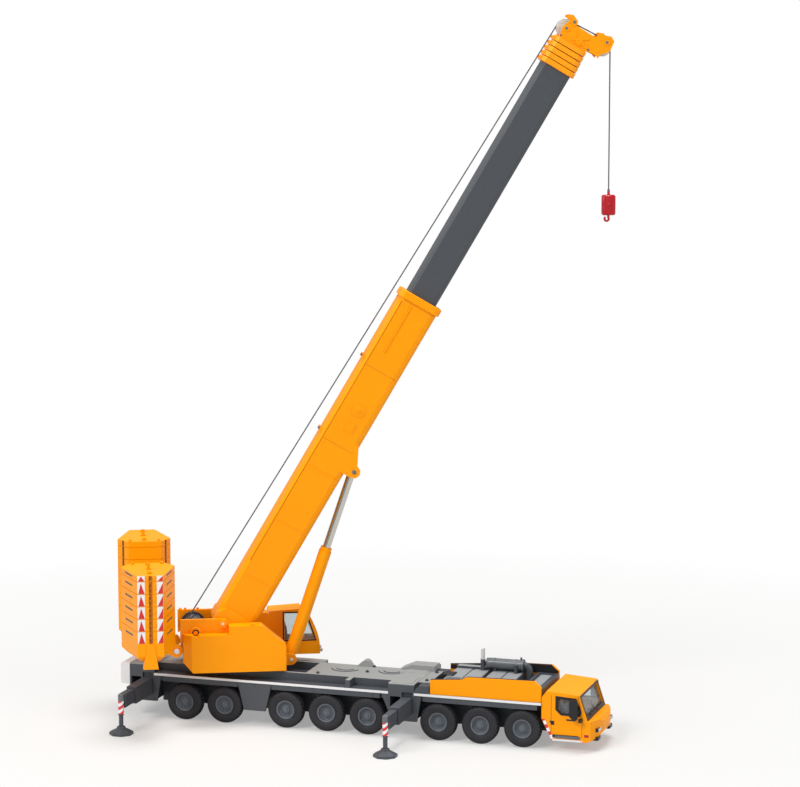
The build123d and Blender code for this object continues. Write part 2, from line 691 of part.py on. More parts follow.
# Engine deck between the hood panels, with the muffler on its saddles and the hatch
engine_width = HOOD_WIDTH - 2 * HOOD_THICK
hatch_tail = RECESS_X + RECESS_LENGTH
deck_end = CAB_TAIL - SEAT_GAP
with BuildPart() as engine_deck:
    with BuildSketch(carrier_side(0)):
        with BuildLine():
            Polyline(
                (HOOD_TAIL, DECK_FLOOR),
                (HOOD_TAIL, ENGINE_REAR_TOP),
                (HOOD_TAIL + ENGINE_SLOPE, ENGINE_DECK_TOP),
                (RECESS_X, ENGINE_DECK_TOP),
                (RECESS_X, ENGINE_DECK_TOP - RECESS_DEPTH),
                (hatch_tail - 1, ENGINE_DECK_TOP - RECESS_DEPTH),
                (hatch_tail, ENGINE_DECK_TOP),
                (deck_end, CAB_ROOF_REAR_Z),
                (deck_end, DECK_FLOOR),
                close=True,
            )
        make_face()
    extrude(amount=engine_width / 2, both=True)
    with BuildSketch(deck_plane(ENGINE_DECK_TOP)):
        with Locations(
            ((HOOD_TAIL + ENGINE_SLOPE + RECESS_X) / 2, (STEP_INNER + engine_width / 2) / 2)
        ):
            Rectangle(RECESS_X - HOOD_TAIL - ENGINE_SLOPE, engine_width / 2 - STEP_INNER)
    extrude(amount=STEP_RISE)
    with BuildSketch(deck_plane(ENGINE_DECK_TOP + 1)):
        with Locations(((hatch_tail + deck_end) / 2, 0)):
            Rectangle(deck_end - hatch_tail - 2 * HATCH_FRAME, engine_width - 2 * HATCH_FRAME)
    extrude(amount=-1 - HATCH_SINK, mode=Mode.SUBTRACT)
    round_block(
        carrier_cross(MUFFLER_X), MUFFLER_RADIUS, MUFFLER_SIDES, MUFFLER_LENGTH,
        (MUFFLER_Y, MUFFLER_Z),
    )
    round_block(
        carrier_cross(MUFFLER_X + MUFFLER_LENGTH - 1), MUFFLER_RADIUS + 0.4, MUFFLER_SIDES, 1,
        (MUFFLER_Y, MUFFLER_Z),
    )
    for share in (0.2, 0.8):
        with BuildSketch(carrier_cross(MUFFLER_X + share * MUFFLER_LENGTH)):
            with Locations((MUFFLER_Y, (ENGINE_DECK_TOP + MUFFLER_Z) / 2)):
                Rectangle(2.4, MUFFLER_Z - ENGINE_DECK_TOP)
        extrude(amount=1.0)
    bend_start = MUFFLER_X + MUFFLER_LENGTH
    with BuildSketch(carrier_cross(bend_start)) as pipe:
        with Locations((MUFFLER_Y, MUFFLER_Z)):
            RegularPolygon(ELBOW_PIPE, HOUSING_SIDES)
    bend_middle = Vector(REAR_AXLE_X + bend_start, CARRIER_Y + MUFFLER_Y, MUFFLER_Z - ELBOW_RADIUS)
    revolve(pipe.sketch, axis=Axis(bend_middle, (0, 1, 0)), revolution_arc=90)
    with BuildSketch(deck_plane(MUFFLER_Z - ELBOW_RADIUS)):
        with Locations((bend_start + ELBOW_RADIUS, MUFFLER_Y)):
            RegularPolygon(ELBOW_PIPE, HOUSING_SIDES)
    extrude(amount=-(MUFFLER_Z - ELBOW_RADIUS - ENGINE_DECK_TOP + RECESS_DEPTH))
save(engine_deck.part, "engine_deck")

# Exhaust stack beside the silencer, its open end cut on a slant
with BuildPart() as exhaust_stack:
    round_block(
        deck_plane(ENGINE_DECK_TOP), EXHAUST_RADIUS, EXHAUST_SIDES, EXHAUST_TOP - ENGINE_DECK_TOP,
        (EXHAUST_X, EXHAUST_Y),
    )
    round_block(
        deck_plane(EXHAUST_TOP), EXHAUST_RADIUS - EXHAUST_WALL, EXHAUST_SIDES, -EXHAUST_DEPTH,
        (EXHAUST_X, EXHAUST_Y), mode=Mode.SUBTRACT,
    )
    with BuildSketch(carrier_side(EXHAUST_Y)):
        with BuildLine():
            Polyline(
                (EXHAUST_X - EXHAUST_RADIUS - 1, EXHAUST_TOP - EXHAUST_SLANT),
                (EXHAUST_X + EXHAUST_RADIUS + 1, EXHAUST_TOP + 0.4),
                (EXHAUST_X - EXHAUST_RADIUS - 1, EXHAUST_TOP + 0.4),
                close=True,
            )
        make_face()
    extrude(amount=EXHAUST_RADIUS + 1, both=True, mode=Mode.SUBTRACT)
save(exhaust_stack.part, "exhaust_stack")


# Driver's cab: a hollow shell with its windows cut, glass inside it and a seat tub
def cab_block(inset, floor):
    """The cab's outer form, drawn in from every wall by inset."""
    half = CAB_WIDTH / 2 - inset
    corner = NOSE_X - NOSE_BOW - inset
    with BuildPart() as block:
        with BuildSketch(carrier_side(0)):
            with BuildLine():
                Polyline(
                    (SCREEN_FOOT_X, SCREEN_FOOT_Z),
                    (CAB_ROOF_FRONT_X, CAB_ROOF_FRONT_Z),
                    (CAB_ROOF_REAR_X, CAB_ROOF_REAR_Z),
                    (CAB_TAIL, CAB_ROOF_REAR_Z - 3),
                    (CAB_TAIL, SCREEN_FOOT_Z),
                    (CAB_TAIL + 4.6, CAB_BOTTOM),
                    (NOSE_X - 6, CAB_BOTTOM),
                    (NOSE_X - 2, CAB_BOTTOM + 1.6),
                )
                ThreePointArc(
                    (NOSE_X - 2, CAB_BOTTOM + 1.6), (NOSE_X, NOSE_Z), (NOSE_X - 1.6, SCREEN_FOOT_Z)
                )
                Line((NOSE_X - 1.6, SCREEN_FOOT_Z), (SCREEN_FOOT_X, SCREEN_FOOT_Z))
            make_face()
            if inset:
                offset(amount=-inset)
        extrude(amount=CAB_WIDTH / 2 - inset, both=True)
        with BuildSketch(deck_plane(floor)):
            with BuildLine():
                Line((CAB_TAIL, -half), (CAB_TAIL, half))
                Line((CAB_TAIL, half), (corner, half))
                ThreePointArc((corner, half), (NOSE_X - inset, 0), (corner, -half))
                Line((corner, -half), (CAB_TAIL, -half))
            make_face()
        extrude(amount=CAB_ROOF_REAR_Z, mode=Mode.INTERSECT)
    return block.part


cab_outer = cab_block(0, 0)
cab_inner = cab_block(CAB_WALL, 0)
glass_outer = cab_block(CAB_WALL + GLASS_GAP, 0)
glass_inner = cab_block(CAB_WALL + GLASS_GAP + GLASS_THICK, 0)
with BuildPart() as cab_shell:
    add(cab_outer)
    add(cab_inner, mode=Mode.SUBTRACT)
    with BuildSketch(carrier_side(0)):
        with BuildLine():
            Polyline(
                (CAB_TAIL + WINDOW_TAIL, CAB_ROOF_REAR_Z - 2),
                (SCREEN_FOOT_X - 4.9, CAB_ROOF_FRONT_Z - 1.5),
                (SCREEN_FOOT_X - 2.7, SCREEN_FOOT_Z + 4),
                (SCREEN_FOOT_X - 3.3, SCREEN_FOOT_Z + 2.2),
                (CAB_TAIL + WINDOW_TAIL + 2.4, SCREEN_FOOT_Z + 2.2),
                (CAB_TAIL + WINDOW_TAIL, SCREEN_FOOT_Z + 4.4),
                close=True,
            )
        make_face()
    extrude(amount=CAB_WIDTH / 2, both=True, mode=Mode.SUBTRACT)
    with BuildSketch(carrier_cross(CAB_ROOF_FRONT_X - 4)):
        with Locations((0, (SCREEN_FOOT_Z + CAB_ROOF_FRONT_Z) / 2)):
            Rectangle(CAB_WIDTH - 2 * (CAB_WALL + CORNER_POST), CAB_ROOF_FRONT_Z - SCREEN_FOOT_Z - 2.0)
    extrude(amount=12, mode=Mode.SUBTRACT)
save(cab_shell.part, "cab_shell")

with BuildPart() as cab_glazing:
    add(glass_outer)
    add(glass_inner, mode=Mode.SUBTRACT)
    with BuildSketch(carrier_side(0)):
        with BuildLine():
            Polyline(
                (CAB_TAIL + WINDOW_TAIL - 1.4, CAB_ROOF_FRONT_Z),
                (SCREEN_FOOT_X, CAB_ROOF_FRONT_Z),
                (NOSE_X - 2, SCREEN_FOOT_Z + 0.6),
                (CAB_TAIL + WINDOW_TAIL - 1.4, SCREEN_FOOT_Z + 0.6),
                close=True,
            )
        make_face()
    extrude(amount=CAB_WIDTH / 2, both=True, mode=Mode.INTERSECT)
save(cab_glazing.part, "cab_glazing")

# Seat tub: floor, two seats and the dashboard in one moulding
tub_half = CAB_WIDTH / 2 - CAB_WALL - GLASS_GAP - GLASS_THICK - BEAM_GAP
seat_x = CAB_TAIL + SEAT_BACK_X
dash_x = SCREEN_FOOT_X - 3
with BuildPart() as cab_interior:
    with BuildSketch(carrier_side(0)):
        with BuildLine():
            Polyline(
                (seat_x, CAB_BOTTOM + 1.8),
                (seat_x, SCREEN_FOOT_Z - 2),
                (dash_x - 3, SCREEN_FOOT_Z - 2),
                (dash_x - 3, CAB_BOTTOM + 3.8),
                (dash_x, CAB_BOTTOM + 3.8),
                (dash_x, SCREEN_FOOT_Z - 0.6),
                (dash_x + 3, SCREEN_FOOT_Z - 2),
                (dash_x + 3, CAB_BOTTOM + 2),
                close=True,
            )
        make_face()
    extrude(amount=tub_half, both=True)
    for side in (-1, 1):
        with BuildSketch(carrier_side(side * tub_half * 0.5 + SEAT_WIDTH / 2)):
            with BuildLine():
                Polyline(
                    (seat_x, SCREEN_FOOT_Z - 2),
                    (seat_x, SCREEN_FOOT_Z + 5),
                    (seat_x + 1.7, SCREEN_FOOT_Z + 5),
                    (seat_x + 2.6, SCREEN_FOOT_Z - 2),
                    close=True,
                )
            make_face()
        extrude(amount=SEAT_WIDTH)
save(cab_interior.part, "cab_interior")

# Cab trim: mirrors on their arms, lamps, bumper strip and the sill steps
with BuildPart() as cab_trim:
    for side in (-1, 1):
        with BuildSketch(carrier_side(side * (CAB_WIDTH / 2 + MIRROR_REACH))):
            with BuildLine():
                Polyline(
                    (MIRROR_X, MIRROR_BOTTOM),
                    (MIRROR_X, MIRROR_TOP - 1),
                    (MIRROR_X + 1, MIRROR_TOP),
                    (MIRROR_X + MIRROR_LENGTH, MIRROR_TOP),
                    (MIRROR_X + MIRROR_LENGTH, MIRROR_BOTTOM - 1),
                    (MIRROR_X + MIRROR_LENGTH - 1, MIRROR_BOTTOM - 2),
                    (MIRROR_X + 1, MIRROR_BOTTOM - 1),
                    close=True,
                )
            make_face()
        extrude(amount=side * MIRROR_THICK)
        with BuildSketch(carrier_side(side * (CAB_WIDTH / 2 + MIRROR_REACH))):
            with Locations((SCREEN_FOOT_X - 2.6, SCREEN_FOOT_Z + 0.6)):
                Rectangle(MIRROR_ARM, MIRROR_ARM)
        extrude(amount=side * MIRROR_REACH)
        with BuildSketch(carrier_side(side * (CAB_WIDTH / 2 + STEP_PROUD))):
            with Locations((CAB_TAIL + 5 + STEP_LENGTH / 2, CAB_BOTTOM + 2.2)):
                Rectangle(STEP_LENGTH, 1.1)
        extrude(amount=side * STEP_PROUD)
    for side in (-1, 1):
        with BuildSketch(carrier_cross(NOSE_X - LAMP_SINK)):
            with Locations((side * LAMP_Y, LAMP_Z)):
                Rectangle(LAMP_WIDTH, LAMP_HEIGHT)
            with Locations((side * LAMP_Y, CAB_BOTTOM + 1.2)):
                Rectangle(LAMP_WIDTH, LAMP_HEIGHT)
        extrude(amount=LAMP_SINK - NOSE_BOW)
    add(cab_outer, mode=Mode.SUBTRACT)
save(cab_trim.part, "cab_trim")

# Superstructure: floor plate, side housings, arms, boom foot pin and cylinder lugs
half_turret = TURRET_WIDTH / 2


def housing(nose, slope):
    """Side view of a housing, whose front slopes down from its top at nose - slope to nose."""
    with BuildSketch() as outline:
        with BuildLine():
            Polyline(
                (TURRET_TAIL, HOUSING_STEP_TOP),
                (TURRET_TAIL, TURRET_BOTTOM + REAR_RAKE),
                (TURRET_TAIL + REAR_RAKE, TURRET_BOTTOM),
                (nose, TURRET_BOTTOM),
                (nose, HOUSING_TOP - slope * 0.86),
                (nose - slope, HOUSING_TOP),
                (HOUSING_STEP_X, HOUSING_TOP),
                (HOUSING_STEP_X, HOUSING_STEP_TOP),
                close=True,
            )
        make_face()
    return outline.sketch


with BuildPart() as turntable_frame:
    with BuildSketch(turret_level(TURRET_BOTTOM)):
        with Locations(((TURRET_TAIL + REAR_RAKE + TURRET_NOSE) / 2, (CAB2_INNER - half_turret) / 2)):
            Rectangle(TURRET_NOSE - TURRET_TAIL - REAR_RAKE, CAB2_INNER + half_turret)
    extrude(amount=TURRET_FLOOR - TURRET_BOTTOM)
    spigot_foot = DECK_FLOOR + TURN_GAP
    round_block(turret_level(spigot_foot), SPIGOT_RADIUS, DRUM_SIDES, TURRET_BOTTOM - spigot_foot)
    with BuildSketch(turret_side(-half_turret)):
        add(housing(TURRET_NOSE, HOUSING_SLOPE))
    extrude(amount=-(half_turret - HOUSING_INNER))
    with BuildSketch(turret_side(half_turret)):
        add(housing(CAB2_U - SEAT_GAP, 1.0))
    extrude(amount=half_turret - HOUSING_INNER)
    rear_corners = turntable_frame.edges().filter_by(Axis.Z).sort_by(
        lambda edge: (edge.center() - SLEW_POINT).dot(AHEAD)
    )
    outer_corners = rear_corners.filter_by(
        lambda edge: abs((edge.center() - SLEW_POINT).dot(LEFT)) > half_turret - 0.1
        and (edge.center() - SLEW_POINT).dot(AHEAD) < TURRET_TAIL + 0.1
    )
    chamfer(outer_corners, REAR_CHAMFER)
    for side in (-1, 1):
        with BuildSketch(turret_side(side * (ARM_V + ARM_THICK))):
            with BuildLine():
                Polyline(
                    (TURRET_TAIL - ARM_OVERHANG, ARM_TOP),
                    (FOOT_PIN_U + 1.4, ARM_TOP),
                    (FOOT_PIN_U + 3.2, ARM_TOP - 2),
                    (FOOT_PIN_U + 3.2, HOUSING_STEP_TOP - 2),
                    (TURRET_TAIL + 2, HOUSING_STEP_TOP - 2),
                    (TURRET_TAIL - ARM_OVERHANG, HOUSING_STEP_TOP - 4),
                    close=True,
                )
            make_face()
            with Locations((DRUM_U, DRUM_Z)):
                RegularPolygon(ARM_BOSS_RADIUS, BOSS_SIDES)
        extrude(amount=side * ARM_THICK)
        with BuildSketch(turret_side(side * (ARM_V + ARM_THICK + ARM_BOSS_PROUD))):
            with Locations((DRUM_U, DRUM_Z), (FOOT_PIN_U, FOOT_PIN_Z)):
                RegularPolygon(ARM_BOSS_RADIUS - 0.6, BOSS_SIDES)
        extrude(amount=side * ARM_BOSS_PROUD)
        with BuildSketch(turret_side(side * FOOT_LUG_OUTER)):
            with BuildLine():
                Polyline(
                    (TURRET_NOSE - 3, TURRET_BOTTOM),
                    (CYLINDER_FOOT[0], CYLINDER_FOOT[1] - FOOT_LUG_RADIUS),
                    (CYLINDER_FOOT[0] + FOOT_LUG_RADIUS, CYLINDER_FOOT[1]),
                    (TURRET_NOSE, FOOT_LUG_TOP),
                    (TURRET_NOSE - 5, FOOT_LUG_TOP),
                    close=True,
                )
            make_face()
            with Locations(CYLINDER_FOOT):
                RegularPolygon(FOOT_LUG_RADIUS, BOSS_SIDES)
        extrude(amount=side * (FOOT_LUG_OUTER - FOOT_LUG_INNER))
        with BuildSketch(turret_side(side * (FOOT_LUG_OUTER + FOOT_PIN_PROUD))):
            with Locations(CYLINDER_FOOT):
                RegularPolygon(LUG_PIN_RADIUS, HUB_SIDES)
        extrude(amount=side * FOOT_PIN_PROUD)
    with BuildSketch(turret_level(TURRET_BOTTOM)):
        with Locations(((NOTCH_TAIL + TURRET_NOSE) / 2, 0)):
            Rectangle(TURRET_NOSE - NOTCH_TAIL, 2 * NOTCH_HALF)
    extrude(amount=TURRET_FLOOR - TURRET_BOTTOM, mode=Mode.SUBTRACT)
    with BuildSketch(turret_side(0)):
        with Locations((FOOT_PIN_U, FOOT_PIN_Z)):
            RegularPolygon(FOOT_PIN_RADIUS, BOSS_SIDES)
    extrude(amount=ARM_V + ARM_THICK, both=True)
    round_block(
        turret_side(half_turret), DRUM_SHAFT_RADIUS + PIN_GAP, HUB_SIDES, 2 * half_turret,
        (DRUM_U, DRUM_Z), mode=Mode.SUBTRACT,
    )
save(turntable_frame.part, "turntable_frame")

# Winch drum across the arms, with its flanges and the wound rope's body
drum_end = ARM_V - FLANGE_INSET
with BuildPart() as winch_drum:
    round_block(turret_side(drum_end), DRUM_RADIUS, DRUM_SIDES, 2 * drum_end, (DRUM_U, DRUM_Z))
    for side in (-1, 1):
        round_block(
            turret_side(side * drum_end), DRUM_FLANGE_RADIUS, DRUM_SIDES, -side * FLANGE_THICK,
            (DRUM_U, DRUM_Z),
        )
    with BuildSketch(turret_side(0)):
        with Locations((DRUM_U, DRUM_Z)):
            RegularPolygon(DRUM_SHAFT_RADIUS, BOSS_SIDES)
    extrude(amount=ARM_V + ARM_THICK + ARM_BOSS_PROUD, both=True)
save(winch_drum.part, "winch_drum")


# Counterweight: frame with two trays, and a stack of slabs on each
def stack_outline(side, grow=0):
    """Six-sided plan of one stack, narrow at its outer face."""
    half_inner = STACK_INNER_WIDTH / 2 + grow
    half = STACK_WIDTH / 2 + grow
    half_outer = STACK_OUTER_WIDTH / 2 + grow
    with BuildSketch() as outline:
        with BuildLine():
            Polyline(
                (STACK_MIDDLE_U - half_inner, side * (STACK_INNER - grow)),
                (STACK_MIDDLE_U - half, side * STACK_SHOULDER),
                (STACK_MIDDLE_U - half_outer, side * (STACK_OUTER + grow)),
                (STACK_MIDDLE_U + half_outer, side * (STACK_OUTER + grow)),
                (STACK_MIDDLE_U + half, side * STACK_SHOULDER),
                (STACK_MIDDLE_U + half_inner, side * (STACK_INNER - grow)),
                close=True,
            )
        make_face()
    return outline.sketch


with BuildPart() as counterweight_frame:
    with BuildSketch(turret_level(TRAY_BOTTOM)):
        for side in (-1, 1):
            add(stack_outline(side))
    extrude(amount=STACK_BOTTOM - TRAY_BOTTOM)
    chamfer(counterweight_frame.faces().group_by(Axis.Z)[0].edges(), TRAY_INSET)
    for side in (-1, 1):
        with BuildSketch(turret_side(side * (STACK_OUTER + FOOT_PROUD))):
            with BuildLine():
                Polyline(
                    (STACK_MIDDLE_U - FOOT_TOP_WIDTH / 2, STACK_BOTTOM),
                    (STACK_MIDDLE_U - FOOT_WIDTH / 2, FOOT_BOTTOM),
                    (STACK_MIDDLE_U + FOOT_WIDTH / 2, FOOT_BOTTOM),
                    (STACK_MIDDLE_U + FOOT_TOP_WIDTH / 2, STACK_BOTTOM),
                    close=True,
                )
            make_face()
        extrude(amount=side * FOOT_DEPTH)
        with BuildSketch(turret_side(side * (ARM_V + ARM_THICK))):
            with BuildLine():
                Polyline(
                    (STACK_MIDDLE_U, TRAY_BOTTOM),
                    (HANGER_PIN_U, HANGER_PIN_Z - HANGER_RADIUS),
                    (HANGER_PIN_U, HANGER_PIN_Z + HANGER_RADIUS),
                    (STACK_MIDDLE_U, TRAY_BOTTOM + 6),
                    close=True,
                )
            make_face()
            with Locations((HANGER_PIN_U, HANGER_PIN_Z)):
                RegularPolygon(HANGER_RADIUS, BOSS_SIDES)
        extrude(amount=side * ARM_THICK)
        with BuildSketch(turret_side(side * (ARM_V + ARM_THICK + HANGER_PIN_PROUD))):
            with Locations((HANGER_PIN_U, HANGER_PIN_Z)):
                RegularPolygon(HANGER_PIN_RADIUS, HUB_SIDES)
        extrude(amount=side * HANGER_PIN_PROUD)
    with BuildSketch(turret_level(TRAY_BOTTOM)):
        with Locations((STACK_MIDDLE_U, 0)):
            Rectangle(STACK_INNER_WIDTH, 2 * STACK_INNER + 1)
    extrude(amount=STACK_BOTTOM - TRAY_BOTTOM)
save(counterweight_frame.part, "counterweight_frame")

with BuildPart() as counterweight_slabs:
    for side, count in ((-1, RIGHT_SLABS), (1, LEFT_SLABS)):
        stack_height = count * SLAB_HEIGHT
        with BuildSketch(turret_level(STACK_BOTTOM)):
            add(stack_outline(side, -SLAB_SEAM))
        extrude(amount=stack_height)
        for index in range(count + 1):
            height = CAP_HEIGHT if index == count else SLAB_HEIGHT
            with BuildSketch(turret_level(STACK_BOTTOM + index * SLAB_HEIGHT)):
                add(stack_outline(side))
            extrude(amount=height - SLAB_SEAM)
        with BuildSketch(turret_level(STACK_BOTTOM)):
            with Locations((STACK_MIDDLE_U, side * STACK_OUTER)):
                Rectangle(GROOVE_WIDTH, 2 * GROOVE_DEPTH)
        extrude(amount=stack_height, mode=Mode.SUBTRACT)
save(counterweight_slabs.part, "counterweight_slabs")

# Operator's cab on the left of the superstructure, its glass and seat
def operator_block(inset):
    """The operator's cab's form, drawn in from every wall by inset."""
    front = CAB2_U + CAB2_LENGTH
    with BuildPart() as block:
        with BuildSketch(turret_side(CAB2_INNER + inset)):
            with BuildLine():
                Polyline(
                    (front - CAB2_LEAN, CAB2_TOP - 4.3),
                    (front - CAB2_LEAN - 4.1, CAB2_TOP),
                    (CAB2_U, CAB2_TOP - 0.8),
                    (CAB2_U, CAB2_BOTTOM),
                    (front, CAB2_BOTTOM),
                )
                ThreePointArc(
                    (front, CAB2_BOTTOM),
                    (front - 1.0, (CAB2_BOTTOM + CAB2_TOP) / 2 - 1.2),
                    (front - CAB2_LEAN, CAB2_TOP - 4.3),
                )
            make_face()
            if inset:
                offset(amount=-inset)
        extrude(amount=-(CAB2_WIDTH - 2 * inset))
    return block.part


front = CAB2_U + CAB2_LENGTH
sill = CAB2_BOTTOM + CAB2_SILL
operator_outer = operator_block(0)
operator_inner = operator_block(CAB2_WALL)
operator_glass_outer = operator_block(CAB2_WALL + GLASS_GAP)
operator_glass_inner = operator_block(CAB2_WALL + GLASS_GAP + GLASS_THICK)
with BuildPart() as operator_cab:
    add(operator_outer)
    add(operator_inner, mode=Mode.SUBTRACT)
    with BuildSketch(turret_side(CAB2_INNER)):
        with BuildLine():
            Polyline(
                (CAB2_U + 7.0, sill),
                (front - 2.4, sill),
                (front - CAB2_LEAN - 1.2, CAB2_TOP - 5.1),
                (front - CAB2_LEAN - 4.8, CAB2_TOP - 1.9),
                (CAB2_U + 7.0, CAB2_TOP - 1.9),
                close=True,
            )
        make_face()
    extrude(amount=-CAB2_WIDTH, mode=Mode.SUBTRACT)
    with BuildSketch(turret_side(CAB2_INNER + CAB2_POST)):
        with BuildLine():
            Polyline(
                (front - CAB2_LEAN - 2.8, CAB2_TOP - 2.4),
                (front - CAB2_LEAN, CAB2_TOP - 2.4),
                (front + 1, CAB2_TOP - 4.3),
                (front + 1, sill - 2),
                (front - 2.4, sill - 2),
                (front - 3.0, sill + 4.5),
                close=True,
            )
        make_face()
    extrude(amount=-(CAB2_WIDTH - 2 * CAB2_POST), mode=Mode.SUBTRACT)
save(operator_cab.part, "operator_cab")

with BuildPart() as operator_glazing:
    add(operator_glass_outer)
    add(operator_glass_inner, mode=Mode.SUBTRACT)
    with BuildSketch(turret_side(CAB2_INNER)):
        with BuildLine():
            Polyline(
                (CAB2_U + 6.0, sill - 2.6),
                (front + 1, sill - 2.6),
                (front + 1, CAB2_TOP - 1.6),
                (CAB2_U + 6.0, CAB2_TOP - 1.6),
                close=True,
            )
        make_face()
    extrude(amount=-CAB2_WIDTH, mode=Mode.INTERSECT)
save(operator_glazing.part, "operator_glazing")

seat_inset = CAB2_WALL + GLASS_GAP + GLASS_THICK + BEAM_GAP
with BuildPart() as operator_seat:
    with BuildSketch(turret_side(CAB2_INNER + seat_inset)):
        with BuildLine():
            Polyline(
                (CAB2_U + 5.0, CAB2_BOTTOM + CAB2_WALL),
                (CAB2_U + 6.0, CAB2_TOP - 8),
                (CAB2_U + 8.0, CAB2_TOP - 8),
                (CAB2_U + 8.8, sill),
                (CAB2_U + 14.0, sill - 0.4),
                (CAB2_U + 14.0, CAB2_BOTTOM + CAB2_WALL),
                close=True,
            )
        make_face()
    extrude(amount=-(CAB2_WIDTH - 2 * seat_inset))
save(operator_seat.part, "operator_seat")


# Boom: the base section, the telescoping sections inside it, and the head
def boom_outline(width, depth, top=1.6, bottom=3.2):
    """Boom cross-section: bevelled at the top edges and rounded underneath."""
    half = width / 2
    high = BOOM_MIDDLE_N + depth / 2
    low = BOOM_MIDDLE_N - depth / 2
    turns = [radians(90 * step / CORNER_STEPS) for step in range(CORNER_STEPS + 1)]
    corner = [(half - bottom * (1 - cos(a)), low + bottom * (1 - sin(a))) for a in turns]
    right = [(half - top, high), (half, high - top)] + corner
    with BuildSketch() as outline:
        with BuildLine():
            Polyline(*right, *[(-x, y) for x, y in reversed(right)], close=True)
        make_face()
    return outline.sketch


def section_size(number):
    """Outer width and depth of telescoping section 1 to 5."""
    shrink = 2 * (SECTION_WALL + SECTION_GAP) * (number - 1)
    return SECTION_WIDTH - shrink, SECTION_DEPTH - shrink


cavity_width = SECTION_WIDTH + 2 * SECTION_GAP
cavity_depth = SECTION_DEPTH + 2 * SECTION_GAP
boom_low = BOOM_MIDDLE_N - BASE_DEPTH / 2
boom_high = BOOM_MIDDLE_N + BASE_DEPTH / 2
foot_half = HOUSING_INNER - SEAT_GAP
with BuildPart() as boom_base:
    with BuildSketch(boom_cross(0)):
        add(boom_outline(BASE_WIDTH, BASE_DEPTH))
    extrude(amount=BASE_LENGTH)
    with BuildSketch(boom_cross(BASE_LENGTH - COLLAR_LENGTH)):
        add(boom_outline(BASE_WIDTH + 2 * COLLAR_RISE, BASE_DEPTH + 2 * COLLAR_RISE))
    extrude(amount=COLLAR_LENGTH)
    rims = boom_base.faces().filter_by(
        lambda face: abs((face.center() - FOOT_PIN).dot(BOOM_ALONG) - BASE_LENGTH) < 0.01
    )
    chamfer(rims.edges(), COLLAR_RISE / 2)
    round_block(
        boom_side(foot_half), FOOT_RADIUS, BOSS_SIDES, 2 * foot_half,
    )
    with BuildSketch(boom_side(0)):
        with BuildLine():
            Polyline(
                (-FOOT_RADIUS, 0),
                (-FOOT_RADIUS / 2, boom_low + 5.3),
                (FOOT_RADIUS, boom_low + 0.3),
                (FOOT_RADIUS + 2, boom_low + 6.3),
                (FOOT_RADIUS + 2, 2.0),
                (3, FOOT_RADIUS),
                (0, FOOT_RADIUS),
                close=True,
            )
        make_face()
    extrude(amount=foot_half, both=True)
    round_block(
        boom_side(HOUSING_INNER), FOOT_PIN_RADIUS + PIN_GAP, BOSS_SIDES, 2 * HOUSING_INNER,
        mode=Mode.SUBTRACT,
    )
    for side in (-1, 1):
        with BuildSketch(boom_side(side * LUG_OUTER)):
            with BuildLine():
                Polyline(
                    (LUG_ALONG - 3, boom_low + 4),
                    (LUG_ALONG - LUG_RADIUS, LUG_NORMAL),
                    (LUG_ALONG - LUG_RADIUS * 0.7, LUG_NORMAL - LUG_RADIUS * 0.7),
                    (LUG_ALONG, LUG_NORMAL - LUG_RADIUS),
                    (LUG_ALONG + LUG_RADIUS * 0.7, LUG_NORMAL - LUG_RADIUS * 0.7),
                    (LUG_ALONG + LUG_RADIUS, LUG_NORMAL),
                    (LUG_ALONG + LUG_RUN, boom_low + 1),
                    (LUG_ALONG + LUG_RUN, boom_low + 4),
                    close=True,
                )
            make_face()
        extrude(amount=side * (LUG_OUTER - LUG_INNER))
        wall = BASE_WIDTH / 2
        round_block(
            boom_side(side * (wall + PLATE_RISE)), BADGE_RADIUS, BOSS_SIDES,
            side * (PLATE_RISE + 1), (BADGE_ALONG, BOOM_MIDDLE_N),
        )
        with BuildSketch(boom_side(side * (wall + PLATE_RISE))):
            with Locations((BADGE_ALONG - 8.5, BOOM_MIDDLE_N - 0.4)):
                Rectangle(4.4, 4.0)
            with Locations((STRIP_ALONG + STRIP_LENGTH / 2, STRIP_NORMAL)):
                Rectangle(STRIP_LENGTH, 0.6)
        extrude(amount=side * (PLATE_RISE + 0.5))
        for place in NUB_PLACES:
            with BuildSketch(boom_side(side * (wall - 1.6))):
                with Locations((place, boom_high)):
                    Rectangle(1.6, 2 * NUB_RISE)
            extrude(amount=side * 1.2)
    round_block(
        boom_side(LUG_OUTER), LUG_PIN_RADIUS + PIN_GAP, HUB_SIDES, 2 * LUG_OUTER,
        (LUG_ALONG, LUG_NORMAL), mode=Mode.SUBTRACT,
    )
    with BuildSketch(boom_cross(BOOM_CAVITY_START)):
        add(boom_outline(cavity_width, cavity_depth, 1.1, 2.6))
    extrude(amount=BASE_LENGTH, mode=Mode.SUBTRACT)
save(boom_base.part, "boom_base")

